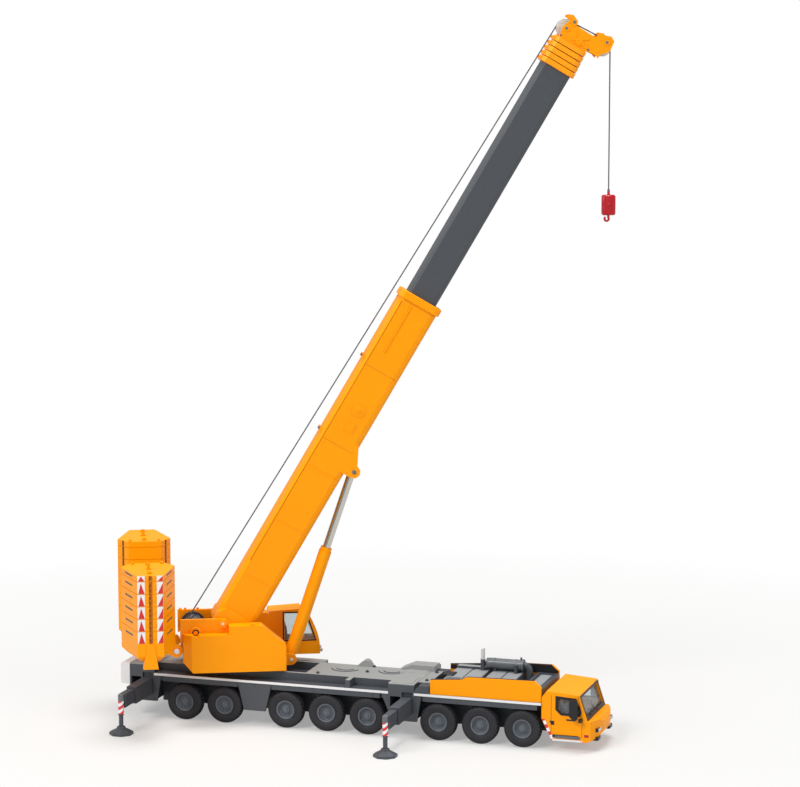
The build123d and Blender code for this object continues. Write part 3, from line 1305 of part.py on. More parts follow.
for number in range(1, SECTION_COUNT + 1):
    width, depth = section_size(number)
    ring_start = REACH + RING_PITCH * (number - 1)
    tail = SECTION_TAIL + TAIL_STEP * (number - 1)
    name = f"tele_section_{number}"
    with BuildPart() as section:
        with BuildSketch(boom_cross(tail)):
            add(boom_outline(width, depth, 1.1, 1.6 if number > 2 else 2.4))
        extrude(amount=ring_start + RING_LENGTH - tail)
        with BuildSketch(boom_cross(ring_start)):
            add(boom_outline(RING_WIDTH - RING_TAPER * number, RING_DEPTH - RING_TAPER * number))
        extrude(amount=RING_LENGTH)
        ring_top = BOOM_MIDDLE_N + (RING_DEPTH - RING_TAPER * number) / 2
        with BuildSketch(boom_cross(ring_start + RING_LENGTH / 2)):
            for side in (-1, 1):
                with Locations((side * (RING_WIDTH / 2 - 2.6), ring_top)):
                    Rectangle(1.1, 2 * NUB_RISE)
        extrude(amount=RING_LENGTH / 4, both=True)
        if number < SECTION_COUNT:
            bore_width = width - 2 * SECTION_WALL
            bore_depth = depth - 2 * SECTION_WALL
            with BuildSketch(boom_cross(tail)):
                add(boom_outline(bore_width, bore_depth, 0.9, 1.3 if number > 1 else 2.0))
            extrude(amount=ring_start + RING_LENGTH - tail, mode=Mode.SUBTRACT)
    save(section.part, name)

# Boom head: two cheek plates on the last section, with the rope sheaves between them
head_start = REACH + RING_PITCH * (SECTION_COUNT - 1) + RING_LENGTH
head_n = BOOM_MIDDLE_N
rear_a, rear_n = REAR_SHEAVE
nose_a, nose_n = NOSE_SHEAVE
with BuildPart() as boom_head:
    for side in (-1, 1):
        with BuildSketch(boom_side(side * HEAD_PLATE_OUTER)):
            with BuildLine():
                Polyline(
                    (head_start, rear_n + 0.8),
                    (rear_a - 2.1, rear_n + 1.2),
                    (rear_a, rear_n + 1.7),
                    (rear_a + 1.6, rear_n + 1.1),
                    (rear_a + 3.4, rear_n + 0.4),
                    (rear_a + 3.5, rear_n - 1.2),
                    (rear_a + 3.2, rear_n - 6.2),
                    (nose_a + 2.0, nose_n + 4.9),
                    (nose_a + 3.5, nose_n + 5.1),
                    (nose_a + 4.9, nose_n + 4.4),
                    (nose_a + 5.4, nose_n + 3.2),
                    (nose_a + 4.3, nose_n + 0.9),
                    (nose_a + 5.6, nose_n + 0.6),
                    (nose_a + 5.9, nose_n - 0.5),
                    (nose_a + 4.7, nose_n - 2.7),
                    (nose_a + 0.2, nose_n - 3.2),
                    (nose_a - 1.5, nose_n - 2.1),
                    (nose_a - 3.4, nose_n - 0.1),
                    (nose_a - 5.3, nose_n - 0.1),
                    (nose_a - 4.6, nose_n + 1.8),
                    (nose_a - 4.9, nose_n + 4.7),
                    (head_start, nose_n + 6.5),
                    close=True,
                )
            make_face()
            with BuildLine():
                Polyline(
                    (rear_a + 2.4, rear_n - 1.4),
                    (rear_a + 4.4, rear_n - 2.8),
                    (rear_a + 5.8, rear_n - 1.6),
                    (rear_a + 6.6, rear_n + 0.4),
                    (rear_a + 5.4, rear_n + 1.9),
                    (rear_a + 4.4, rear_n + 1.6),
                    (rear_a + 4.7, rear_n + 0.2),
                    (rear_a + 2.4, rear_n + 0.6),
                    close=True,
                )
            make_face()
        extrude(amount=side * (HEAD_PLATE_OUTER - HEAD_PLATE_INNER))
        for a, n, radius in (
            (rear_a, rear_n, 1.3), (rear_a + 4.1, rear_n - 1.7, 1.5), (nose_a + 2.7, nose_n, 1.3)
        ):
            round_block(
                boom_side(side * (HEAD_PLATE_OUTER + PLATE_RISE)), radius, HUB_SIDES,
                side * (PLATE_RISE + HEAD_WEB), (a, n),
            )
        for turn in (-1, 1):
            with BuildSketch(boom_side(side * (HEAD_PLATE_OUTER + PLATE_RISE))):
                with Locations((rear_a - 1, rear_n - 8)):
                    Rectangle(0.7, 7.6, rotation=turn * 32)
            extrude(amount=side * (PLATE_RISE + HEAD_WEB))
    with BuildSketch(boom_side(0)):
        with Locations((head_start + HEAD_WEB / 2, head_n)):
            Rectangle(HEAD_WEB, 12.0)
    extrude(amount=HEAD_PLATE_OUTER, both=True)
save(boom_head.part, "boom_head")

with BuildPart() as head_sheaves:
    for place in (REAR_SHEAVE, NOSE_SHEAVE):
        for side in (-1, 1):
            round_block(
                boom_side(side * GROOVE_HALF), SHEAVE_RADIUS, SHEAVE_SIDES,
                -side * (SHEAVE_WIDTH / 2 - GROOVE_HALF), place,
            )
        round_block(boom_side(GROOVE_HALF), SHEAVE_GROOVE, SHEAVE_SIDES, 2 * GROOVE_HALF, place)
        pin_half = HEAD_PLATE_INNER - PIN_GAP
        round_block(boom_side(pin_half), SHEAVE_PIN_RADIUS, HUB_SIDES, 2 * pin_half, place)
save(head_sheaves.part, "head_sheaves")

# Ropes: drum to head, over the head, and down to the hook
rope_run = SHEAVE_GROOVE + ROPE_RADIUS


def boom_point(along, normal):
    """Point on the boom's middle plane."""
    return boom_side(0).from_local_coords(Vector(along, normal, 0))


def straight_rope(start, end):
    """Round rope between two points."""
    run = Plane(origin=start, z_dir=end - start)
    with BuildPart() as rope:
        with BuildSketch(run):
            RegularPolygon(ROPE_RADIUS, ROPE_SIDES)
        extrude(amount=(end - start).length)
    return rope.part


hoist_rope = straight_rope(
    boom_point(*ROPE_DRUM_END), boom_point(REAR_SHEAVE[0], REAR_SHEAVE[1] + rope_run + 0.05)
)
save(hoist_rope, "hoist_rope")
head_rope = straight_rope(
    boom_point(REAR_SHEAVE[0] + rope_run + 0.05, REAR_SHEAVE[1]),
    boom_point(NOSE_SHEAVE[0] + rope_run + 0.05, NOSE_SHEAVE[1]),
)
save(head_rope, "head_rope")

nose_centre = boom_point(*NOSE_SHEAVE)
rope_top = nose_centre + AHEAD * (rope_run + 0.05)
hook_rope = straight_rope(rope_top, rope_top - UP * HOOK_ROPE_LENGTH)
save(hook_rope, "hook_rope")

block_top = rope_top.Z - HOOK_ROPE_LENGTH - BLOCK_KNOT
block_plane = Plane(origin=Vector(rope_top.X, rope_top.Y, 0), x_dir=AHEAD, z_dir=-LEFT)
block_low = block_top - BLOCK_HEIGHT
half_block = BLOCK_WIDTH / 2
with BuildPart() as hook_block:
    with BuildSketch(block_plane):
        with BuildLine():
            Polyline(
                (-half_block + BLOCK_BEVEL, block_top),
                (half_block - BLOCK_BEVEL, block_top),
                (half_block, block_top - BLOCK_BEVEL),
                (half_block, block_low + 1.5 * BLOCK_BEVEL),
                (half_block - 1.5 * BLOCK_BEVEL, block_low),
                (-half_block + 1.5 * BLOCK_BEVEL, block_low),
                (-half_block, block_low + 1.5 * BLOCK_BEVEL),
                (-half_block, block_top - BLOCK_BEVEL),
                close=True,
            )
        make_face()
    extrude(amount=BLOCK_THICK / 2, both=True)
    chamfer(hook_block.faces().filter_by(Axis(rope_top, LEFT)).edges(), BLOCK_ROUND)
    round_block(
        block_plane.offset(BLOCK_THICK / 2 + PLATE_RISE), BLOCK_HUB, BOSS_SIDES,
        -BLOCK_THICK - 2 * PLATE_RISE, (0, block_top - BLOCK_HEIGHT * 0.45),
    )
    with BuildSketch(block_plane):
        with Locations((0, block_top + BLOCK_KNOT / 2)):
            Rectangle(1.2, BLOCK_KNOT - PIN_GAP)
        with Locations((0, block_low)):
            Rectangle(HOOK_THICK, 1.6)
        with BuildLine():
            ThreePointArc(
                (HOOK_THICK / 2, block_low - 0.6),
                (HOOK_THICK, block_low - 2.6),
                (-HOOK_REACH * 0.35, block_low - HOOK_DROP),
            )
            ThreePointArc(
                (-HOOK_REACH * 0.35, block_low - HOOK_DROP),
                (-HOOK_REACH, block_low - HOOK_DROP * 0.8),
                (-HOOK_REACH, block_low - HOOK_DROP * 0.5),
            )
            ThreePointArc(
                (-HOOK_REACH, block_low - HOOK_DROP * 0.5),
                (-HOOK_REACH * 0.3, block_low - HOOK_DROP * 0.72),
                (-HOOK_THICK / 2, block_low - 0.6),
            )
            Line((-HOOK_THICK / 2, block_low - 0.6), (HOOK_THICK / 2, block_low - 0.6))
        make_face()
    extrude(amount=HOOK_THICK / 2, both=True)
save(hook_block.part, "hook_block")

# Luffing cylinder: barrel on the foot lugs, rod up to the boom's lug
foot = turret_side(0).from_local_coords(Vector(*CYLINDER_FOOT, 0))
lug = boom_point(LUG_ALONG, LUG_NORMAL)
stroke_axis = (lug - foot).normalized()
cylinder_side = Plane(origin=foot, x_dir=stroke_axis, z_dir=-LEFT)
pin_to_pin = (lug - foot).length
with BuildPart() as cylinder_barrel:
    with BuildSketch(Plane(origin=foot + stroke_axis * BARREL_START, z_dir=stroke_axis)):
        RegularPolygon(BARREL_RADIUS, DRUM_SIDES)
    extrude(amount=BARREL_LENGTH - BARREL_START - GLAND_LENGTH)
    round_block(
        Plane(origin=foot + stroke_axis * (BARREL_LENGTH - GLAND_LENGTH), z_dir=stroke_axis),
        BARREL_RADIUS - GLAND_STEP, DRUM_SIDES, GLAND_LENGTH,
    )
    with BuildSketch(cylinder_side):
        RegularPolygon(CYLINDER_EYE_RADIUS, BOSS_SIDES)
    extrude(amount=CYLINDER_EYE_HALF, both=True)
    round_block(
        Plane(origin=foot + stroke_axis * BORE_START, z_dir=stroke_axis), BARREL_BORE, BOSS_SIDES,
        BARREL_LENGTH, mode=Mode.SUBTRACT,
    )
save(cylinder_barrel.part, "cylinder_barrel")

with BuildPart() as cylinder_rod:
    round_block(Plane(origin=lug, z_dir=-stroke_axis), ROD_RADIUS, DRUM_SIDES, ROD_LENGTH)
    lug_side = Plane(origin=lug, x_dir=stroke_axis, z_dir=-LEFT)
    round_block(
        lug_side.offset(-CYLINDER_EYE_HALF), CYLINDER_EYE_RADIUS - 0.3, BOSS_SIDES,
        2 * CYLINDER_EYE_HALF,
    )
    with BuildSketch(lug_side):
        RegularPolygon(LUG_PIN_RADIUS, BOSS_SIDES)
    extrude(amount=LUG_OUTER + PLATE_RISE, both=True)
save(cylinder_rod.part, "cylinder_rod")
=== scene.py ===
# %% [markdown]
# This scene dresses the CAD frame of a small display model of a mobile crane: eight axles, a
# telescopic boom raised over the front quarter, and four outriggers on their pads. The frame
# gives every piece its place, so the first cell loads it and reads the box of a part from it.

# %% Load the frame
import json
from math import cos, pi, radians, sin

import bmesh
import bpy
from mathutils import Matrix, Vector


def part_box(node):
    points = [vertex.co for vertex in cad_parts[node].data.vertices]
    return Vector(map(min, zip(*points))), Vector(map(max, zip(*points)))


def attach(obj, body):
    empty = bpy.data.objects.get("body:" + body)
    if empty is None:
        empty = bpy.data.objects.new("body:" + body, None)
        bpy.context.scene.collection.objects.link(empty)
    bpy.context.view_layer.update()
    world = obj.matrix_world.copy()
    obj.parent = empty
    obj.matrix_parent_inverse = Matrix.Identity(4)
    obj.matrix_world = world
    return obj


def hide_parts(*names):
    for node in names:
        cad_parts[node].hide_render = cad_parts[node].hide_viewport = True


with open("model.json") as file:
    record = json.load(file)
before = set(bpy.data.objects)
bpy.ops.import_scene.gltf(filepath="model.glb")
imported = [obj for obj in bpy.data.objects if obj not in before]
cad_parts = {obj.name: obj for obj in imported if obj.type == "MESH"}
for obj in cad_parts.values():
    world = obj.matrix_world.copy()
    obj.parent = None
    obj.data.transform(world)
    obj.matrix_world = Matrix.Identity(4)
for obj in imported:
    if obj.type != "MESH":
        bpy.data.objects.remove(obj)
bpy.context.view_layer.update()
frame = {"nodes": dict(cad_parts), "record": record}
nodes = frame["nodes"]

# %% [markdown]
# A crane is three machines on top of each other: a carrier that faces +X, a superstructure
# turned on it, and a boom tilted on that. Each gets a local frame in millimetres, built up
# from the one below it, so that a detail is written in the sizes that it has on its own part.

# %% Local frames
rear_low, rear_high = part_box("tyres_8")
MM = Matrix.Scale(0.001, 4)
rear_axle = (rear_low + rear_high) / 2
SEAT_X, SLEW, BOOM_FOOT, LUFF = 33.0, 25, (-20.2, 0, 45.7), 59.4
CARRIER = Matrix.Translation((rear_axle.x, rear_axle.y, 0)) @ MM
SUPER = CARRIER @ Matrix.Translation((SEAT_X, 0, 0)) @ Matrix.Rotation(radians(SLEW), 4, "Z")
BOOM = SUPER @ Matrix.Translation(BOOM_FOOT) @ Matrix.Rotation(radians(-LUFF), 4, "Y")
AXLES = (156.10, 137.13, 118.17, 85.69, 66.73, 47.76, 18.97, 0.0)
print("boom foot", [round(v, 4) for v in BOOM.translation])

# %% [markdown]
# A node material grows from sums and products of textures. The class below wraps one output
# socket and overloads the Python operators, so that 1 - mask * 0.3 adds the Math nodes for it.
# The function after it adds any other node, with its settings first and then its inputs.

# %% Sockets that do arithmetic
class Value:
    """One output socket that adds Math nodes when it is used in an expression."""

    def __init__(self, tree, output):
        self.tree, self.output = tree, output

    def math(self, operation, other=None, swap=False):
        made = self.tree.nodes.new("ShaderNodeMath")
        made.operation = operation
        pair = (other, self) if swap else (self, other)
        for socket, value in zip(made.inputs, pair):
            if isinstance(value, Value):
                self.tree.links.new(value.output, socket)
            elif value is not None:
                socket.default_value = value
        return Value(self.tree, made.outputs[0])

    def __add__(self, other):
        return self.math("ADD", other)

    def __radd__(self, other):
        return self.math("ADD", other, swap=True)

    def __sub__(self, other):
        return self.math("SUBTRACT", other)

    def __rsub__(self, other):
        return self.math("SUBTRACT", other, swap=True)

    def __mul__(self, other):
        return self.math("MULTIPLY", other)

    def __rmul__(self, other):
        return self.math("MULTIPLY", other, swap=True)

    def __gt__(self, other):
        return self.math("GREATER_THAN", other)


def add_node(tree, kind, settings=None, inputs=None, output=0):
    """Adds a node with its settings, and with its inputs as numbers or as links."""
    made = tree.nodes.new(kind)
    for key, setting in (settings or {}).items():
        setattr(made, key, setting)
    for socket, value in (inputs or {}).items():
        if isinstance(value, Value):
            tree.links.new(value.output, made.inputs[socket])
        else:
            made.inputs[socket].default_value = value
    return Value(tree, made.outputs[output])


# %% [markdown]
# One class also holds a material: it starts from a Principled shader with its fixed numbers
# set on the sockets, and its methods add the nodes that its patterns are made of. Patterns
# read Object coordinates, which stay put on a piece whose object sits at the origin.

# %% Materials
def srgb(red, green, blue):
    """A colour as read off a photograph, 0 to 255, in the linear values that shaders use."""
    shares = [channel / 255 for channel in (red, green, blue)]
    linear = [s / 12.92 if s <= 0.04045 else ((s + 0.055) / 1.055) ** 2.4 for s in shares]
    return (*linear, 1.0)


def shaded(colour, share):
    """A colour darkened to a share of itself."""
    return tuple(c * share for c in colour[:3]) + (1.0,)


class Finish:
    """A Principled material with room for a pattern."""

    def __init__(self, name, colour, roughness, **numbers):
        self.material = bpy.data.materials.new(name)
        self.material.use_nodes = True
        self.tree = self.material.node_tree
        self.shader = self.tree.nodes["Principled BSDF"]
        self.shader.inputs["Base Color"].default_value = colour
        self.shader.inputs["Roughness"].default_value = roughness
        for socket, number in numbers.items():
            self.shader.inputs[socket.replace("_", " ")].default_value = number
        self.place = self.node("ShaderNodeTexCoord", output="Object")

    def node(self, kind, settings=None, inputs=None, output=0):
        return add_node(self.tree, kind, settings, inputs, output)

    def feed(self, socket, value):
        self.tree.links.new(value.output, self.shader.inputs[socket])

    def noise(self, size_mm, detail):
        """Noise whose features are about size_mm wide."""
        inputs = {"Vector": self.place, "Scale": 1000 / size_mm, "Detail": detail}
        return self.node("ShaderNodeTexNoise", inputs=inputs)

    def axis(self, letter):
        """The place along one axis, in millimetres."""
        parts = self.tree.nodes.new("ShaderNodeSeparateXYZ")
        self.tree.links.new(self.place.output, parts.inputs[0])
        return Value(self.tree, parts.outputs["XYZ".index(letter)]) * 1000.0

    def mix(self, share, first, second):
        """first where share is 0 and second where it is 1, as colours."""
        return self.node("ShaderNodeMix", {"data_type": "RGBA"}, {0: share, 6: first, 7: second}, output=2)

    def bump(self, height, depth_mm, strength):
        """Relief from a height between 0 and 1 that stands for depth_mm."""
        inputs = {"Height": height, "Distance": depth_mm / 1000, "Strength": strength}
        self.feed("Normal", self.node("ShaderNodeBump", inputs=inputs))


# %% [markdown]
# The model's body colour is a warm orange paint with a soft gloss. Real paint on a casting is
# never perfectly even: a fine orange peel breaks the highlights, and the tone drifts a little
# over large faces. The greys are made the same way, with their own colours.

# %% Painted finishes
def paint(name, colour, roughness, peel, coat, shine=0.3):
    """A paint whose orange peel is peel millimetres wide."""
    made = Finish(name, colour, roughness, Coat_Weight=coat, Coat_Roughness=0.22, Specular_IOR_Level=shine)
    drift = made.noise(28, 3)
    made.feed("Base Color", made.mix(drift * 0.55, colour, shaded(colour, 0.86)))
    made.feed("Roughness", made.noise(4.5, 3) * 0.16 + (roughness - 0.08))
    made.bump(made.noise(peel, 2), 0.012, 0.5)
    return made.material


ORANGE = srgb(252, 156, 0)
orange = paint("crane_orange", ORANGE, 0.4, 0.9, 0.03, 0.12)
dark_grey = paint("chassis_grey", srgb(70, 74, 80), 0.44, 0.7, 0.1)
boom_grey = paint("boom_grey", srgb(74, 78, 84), 0.34, 0.9, 0.1)
silver = paint("rail_silver", srgb(205, 207, 210), 0.32, 0.6, 0.2)
plate_grey = paint("plate_grey", srgb(150, 152, 154), 0.4, 0.7, 0.1)
steel_grey = paint("steel_grey", srgb(98, 102, 106), 0.3, 0.6, 0.2)
sheave_pale = paint("sheave_pale", srgb(206, 206, 198), 0.4, 0.6, 0.1)
# Painted shade: a darker orange drawn as the shade in seams and grooves.
shade_orange = paint("seam_shade_orange", srgb(176, 96, 4), 0.5, 0.6, 0.0)
# Painted shade: a dark brown that stands for the shade in the counterweight's grooves.
groove_shade_brown = paint("groove_shade_brown", srgb(120, 62, 8), 0.5, 0.6, 0.0)
white = paint("panel_white", srgb(226, 227, 228), 0.38, 0.8, 0.15)
red = paint("mark_red", srgb(206, 42, 40), 0.4, 0.6, 0.1)
hook_red = paint("hook_red", srgb(176, 24, 34), 0.3, 0.7, 0.2)
black = paint("trim_black", srgb(26, 27, 30), 0.42, 0.6, 0.1)
# Painted shade: a dark slate that stands for the shade inside the lifting slots.
slot_shade_blue = paint("slot_shade_slate", srgb(58, 68, 80), 0.45, 0.6, 0.05)
cabin_grey = paint("cabin_grey", srgb(96, 99, 104), 0.6, 0.6, 0.0)
rim_grey = paint("rim_grey", srgb(92, 98, 106), 0.42, 0.5, 0.1)
lamp_red = paint("lamp_red", srgb(170, 24, 20), 0.2, 0.6, 0.5)
lamp_clear = paint("lamp_clear", srgb(196, 200, 206), 0.12, 0.6, 0.6)
print("painted finishes", len(bpy.data.materials))

# %% [markdown]
# The deck is moulded grey plastic with a raised anti-slip pattern. Two crossing waves, turned
# to either side, make small lozenges, and a bump node raises them by a few hundredths. The
# upper faces catch more light than the well between them, so they are painted a paler grey by
# their height: painted light.

# %% Deck, rubber, metal and glass
DECK_TOP = 24.0


def treadplate(name, colour, pale, pale_worn, pitch_mm):
    """Grey plastic with lozenges, with painted light: a paler grey on the upper faces."""
    made = Finish(name, colour, 0.48)
    along, across = made.axis("X") * (2 * pi / pitch_mm), made.axis("Y") * (2 * pi / pitch_mm)
    lozenge = ((along + across).math("SINE") * (along - across).math("SINE")) > 0.45
    # Painted light: faces above this height are painted paler than the well, for the light they catch.
    lit_top_mask = made.axis("Z") > DECK_TOP - 0.05
    worn = made.noise(14, 3) * 0.5
    low = made.mix(worn, colour, shaded(colour, 0.8))
    made.feed("Base Color", made.mix(lit_top_mask, low, made.mix(worn, pale, pale_worn)))
    made.bump(lozenge + made.noise(0.5, 2) * 0.25, 0.05, 0.45)
    return made.material


# The paler pair of greys is painted light on the deck's upper faces.
deck_plate = treadplate("deck_plate", srgb(68, 72, 78), srgb(150, 152, 150), srgb(134, 136, 136), 1.1)

rubber = Finish("tyre_rubber", srgb(40, 40, 43), 0.68)
rubber.feed("Base Color", rubber.mix(rubber.noise(2.2, 3) * 0.8, srgb(20, 20, 26), srgb(33, 32, 39)))
rubber.bump(rubber.noise(0.35, 2), 0.02, 0.5)

chrome = Finish("rod_chrome", srgb(196, 194, 188), 0.18, Metallic=1.0)
chrome.bump(chrome.noise(0.6, 2), 0.004, 0.35)

glass = Finish("window_glass", (0.80, 0.86, 0.88, 1.0), 0.04, Transmission_Weight=0.92, IOR=1.2)
glass.bump(glass.noise(6, 1), 0.01, 0.2)

# %% [markdown]
# The hoist rope on the model is a twisted thread. A wave on the distance along the thread
# follows the lay of the strands, and a bump rounds each strand. The same wave paints the
# grooves between the strands darker, as painted shade, and their crests paler, as painted
# highlight.

# %% Thread
LAY_MM = 0.9
thread = Finish("rope_thread", srgb(70, 70, 74), 0.8)
lay = (thread.axis("Z") * (2 * pi / LAY_MM) + thread.axis("X") * 2.0).math("SINE") * 0.5 + 0.5
# Painted shade and highlight: dark in the grooves between strands, pale on their crests.
thread.feed("Base Color", thread.mix(lay, srgb(38, 38, 42), srgb(120, 120, 124)))
thread.bump(lay, 0.06, 0.6)

# %% [markdown]
# The telescoping sections are grey tubes, and each ends in an orange collar. The change of
# colour lies at one distance along the boom, so the mask is the dot product with its axis.

# %% Telescope finish
TUBE_GREY, COLLARS_START = srgb(72, 75, 80), 284.9
boom_axis = (BOOM.to_3x3() @ Vector((1, 0, 0))).normalized()
telescope = Finish("telescope_paint", TUBE_GREY, 0.36, Specular_IOR_Level=0.3)
reach = telescope.node(
    "ShaderNodeVectorMath", {"operation": "DOT_PRODUCT"}, {0: telescope.place, 1: boom_axis}, output=1
)
collar = (reach * 1000.0) > (1000 * boom_axis.dot(BOOM @ Vector((COLLARS_START, 0, 0))))
telescope.feed("Base Color", telescope.mix(collar, TUBE_GREY, ORANGE))
telescope.bump(telescope.noise(3.0, 2), 0.006, 0.3)

# %% [markdown]
# Every CAD solid that stays in view gets its finish here by its node's name.

# %% Dress the CAD nodes
def dress(material, *names):
    for name in names:
        mesh = nodes[name].data
        mesh.materials.clear()
        mesh.materials.append(material)


by_slot = {
    "body_orange": orange, "boom_grey": boom_grey, "dark_grey": dark_grey, "deck_grey": deck_plate,
    "grey_plastic": cabin_grey, "silver": silver, "white": white, "tyre_black": rubber.material,
    "rim_grey": rim_grey, "window": glass.material, "rope_grey": thread.material,
    "hook_red": hook_red,
}
for part in frame["record"]["subparts"]:
    dress(by_slot[part["material_slot"]], part["node"])
dress(telescope.material, *[f"tele_section_{k}" for k in range(1, 6)])
dress(chrome.material, "cylinder_rod")
dress(white, "side_rails")
dress(black, "cab_trim")
dress(sheave_pale, "head_sheaves")

# %% [markdown]
# Small parts repeat the same few moves: start a bmesh, add a block, a prism from a side view,
# a rod or a turned shape, then move the whole into the row's frame and put it on its body.
# Edges of every block get a small bevel, because a sharp edge catches no light.

# %% Shape helpers
def bevel_edges(mesh, corners, width):
    """Bevels every edge that ends in one of these corners."""
    edges = list({e for v in corners for e in v.link_edges})
    bmesh.ops.bevel(mesh, geom=edges, offset=width, affect="EDGES", segments=1, profile=0.5, material=-1)


def carry(mesh, faces, step):
    """Extrudes faces by a step and returns the corners at the far end."""
    moved = bmesh.ops.extrude_face_region(mesh, geom=faces)
    far = [g for g in moved["geom"] if isinstance(g, bmesh.types.BMVert)]
    bmesh.ops.translate(mesh, verts=far, vec=step)
    return far


def spin_line(mesh, places, centre, axis, steps, angle=2 * pi):
    """Joins places to a line and spins it about an axis through centre."""
    points = [mesh.verts.new(place) for place in places]
    edges = [mesh.edges.new(pair) for pair in zip(points, points[1:])]
    closed = angle == 2 * pi
    bmesh.ops.spin(
        mesh, geom=points + edges, cent=centre, axis=axis, angle=angle, steps=steps, use_merge=closed
    )


def block(mesh, low, high, bevel=0.12):
    """A box from its low to its high corner, with its edges bevelled."""
    size = [b - a for a, b in zip(low, high)]
    middle = [(a + b) / 2 for a, b in zip(low, high)]
    place = Matrix.Translation(middle) @ Matrix.Diagonal((*size, 1))
    made = bmesh.ops.create_cube(mesh, size=1, matrix=place)
    bevel_edges(mesh, made["verts"], bevel)


def prism(mesh, outline, start, end, bevel=0.0):
    """A side view of (x, z) points, carried across from y = start to y = end."""
    near = [mesh.verts.new((x, start, z)) for x, z in outline]
    far = carry(mesh, [mesh.faces.new(near)], (0, end - start, 0))
    if bevel:
        bevel_edges(mesh, near + far, bevel)


def plate(mesh, low, high, start, end, bevel=0.0):
    """A prism on the rectangle between two (x, z) corners."""
    prism(mesh, [low, (high[0], low[1]), high, (low[0], high[1])], start, end, bevel)


def off_wall(wall, side, reach):
    """Where a detail on an upright wall starts, just inside it, and ends, standing off it."""
    return wall - side * 0.05, wall + side * reach


def rod(mesh, start, end, radius, segments=16, tip=None):
    """A round bar between two points, or a cone if it has another tip radius."""
    start, end = Vector(start), Vector(end)
    turn = (end - start).to_track_quat("Z", "Y").to_matrix().to_4x4()
    place = Matrix.Translation((start + end) / 2) @ turn
    bmesh.ops.create_cone(
        mesh, cap_ends=True, segments=segments, radius1=radius, radius2=radius if tip is None else tip,
        depth=(end - start).length, matrix=place,
    )


def turned(mesh, profile, centre, steps=32):
    """A (radius, offset) profile turned about the y axis through centre."""
    places = [(centre[0] + r, centre[1] + offset, centre[2]) for r, offset in profile]
    spin_line(mesh, places, centre, (0, 1, 0), steps)


def slab(mesh, outline, low, high, bevel=0.0):
    """A plan of (x, y) points, carried up from z = low to z = high."""
    near = [mesh.verts.new((x, y, low)) for x, y in outline]
    far = carry(mesh, [mesh.faces.new(near)], (0, 0, high - low))
    if bevel:
        bevel_edges(mesh, near + far, bevel)


def frame_ring(mesh, outline, start, end, width):
    """A flat frame inside an outline of (x, z) points, as wide as given, from y = start to end."""
    face = mesh.faces.new([mesh.verts.new((x, start, z)) for x, z in outline])
    face.normal_update()
    ring = bmesh.ops.inset_region(
        mesh, faces=[face], thickness=width, use_even_offset=True, use_boundary=True
    )["faces"]
    bmesh.ops.delete(mesh, geom=[face], context="FACES_ONLY")
    carry(mesh, ring, (0, end - start, 0))


def bent_tube(mesh, centre, radius, thick, start, sweep, steps=10):
    """A round tube bent about the y axis through centre, from the angle start on, in degrees."""
    turn = Matrix.Rotation(-radians(start), 4, "Y")
    place = Matrix.Translation(centre) @ turn @ Matrix.Translation((radius, 0, 0))
    made = bmesh.ops.create_circle(mesh, segments=14, radius=thick, matrix=place)
    edges = list({e for v in made["verts"] for e in v.link_edges})
    bmesh.ops.spin(
        mesh, geom=made["verts"] + edges, cent=centre, axis=(0, 1, 0), angle=-radians(sweep), steps=steps
    )
    bmesh.ops.holes_fill(mesh, edges=[e for e in mesh.edges if e.is_boundary], sides=0)


def piece(name, mesh, place, body, material, corner=38):
    """Moves a finished bmesh into the row's frame and puts it on its body."""
    bmesh.ops.remove_doubles(mesh, verts=mesh.verts, dist=0.0005)
    bmesh.ops.recalc_face_normals(mesh, faces=mesh.faces)
    for edge in mesh.edges:
        edge.smooth = len(edge.link_faces) == 2 and edge.calc_face_angle(0) < radians(corner)
    for face in mesh.faces:
        face.smooth = True
    bmesh.ops.transform(mesh, matrix=place, verts=mesh.verts)
    data = bpy.data.meshes.new(name)
    mesh.to_mesh(data)
    mesh.free()
    made = bpy.data.objects.new(name, data)
    bpy.context.scene.collection.objects.link(made)
    data.materials.append(material)
    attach(made, body)
    return made


# %% [markdown]
# A truck tyre on a model has a rounded shoulder, ribs round the tread and lugs at its edges.
# One half profile is turned about the axle, then every second patch of the shoulder is drawn
# inward to leave the lugs between. The rim is turned too, with a ring of nuts and a hub cap.

# %% Tyres and rims
AXLE_HEIGHT, TREAD_MIDDLE, RIM_FACE, NUT_CIRCLE = 8.25, 14.6, 14.9, 2.45
TREAD_STEPS, NUTS = 56, 10
TYRE = (
    (4.35, 2.0), (4.9, 2.35), (6.2, 2.6), (7.2, 2.5), (7.75, 2.2), (8.12, 1.75), (8.25, 1.2),
    (8.25, 0.75), (7.95, 0.7), (7.95, 0.45), (8.25, 0.4), (8.25, 0.0),
)
RIM = (
    (0.0, 0.9), (1.5, 0.9), (1.5, 0.25), (1.9, 0.05), (3.0, 0.05), (3.45, 0.5), (3.55, 1.5),
    (3.95, 1.75), (4.2, 1.75), (4.25, 1.5), (4.25, -2.0),
)


def tyre(mesh, x, y):
    """One tyre: the profile and its mirror image, turned, with its shoulder cut into lugs."""
    start = len(mesh.faces)
    outline = [(r, o) for r, o in TYRE] + [(r, -o) for r, o in reversed(TYRE[:-1])]
    turned(mesh, outline + [TYRE[0]], (x, y, AXLE_HEIGHT), TREAD_STEPS)
    mesh.faces.ensure_lookup_table()
    lugs = []
    for face in mesh.faces[start:]:
        middle = face.calc_center_median() - Vector((x, y, AXLE_HEIGHT))
        spoke = Vector((middle.x, middle.z))
        turn = int((spoke.angle_signed(Vector((1, 0))) + pi) / (2 * pi) * TREAD_STEPS)
        if spoke.length > 7.85 and abs(middle.y) > 0.85 and turn % 2:
            lugs.append(face)
    bmesh.ops.inset_individual(mesh, faces=lugs, thickness=0.06, depth=-0.28)


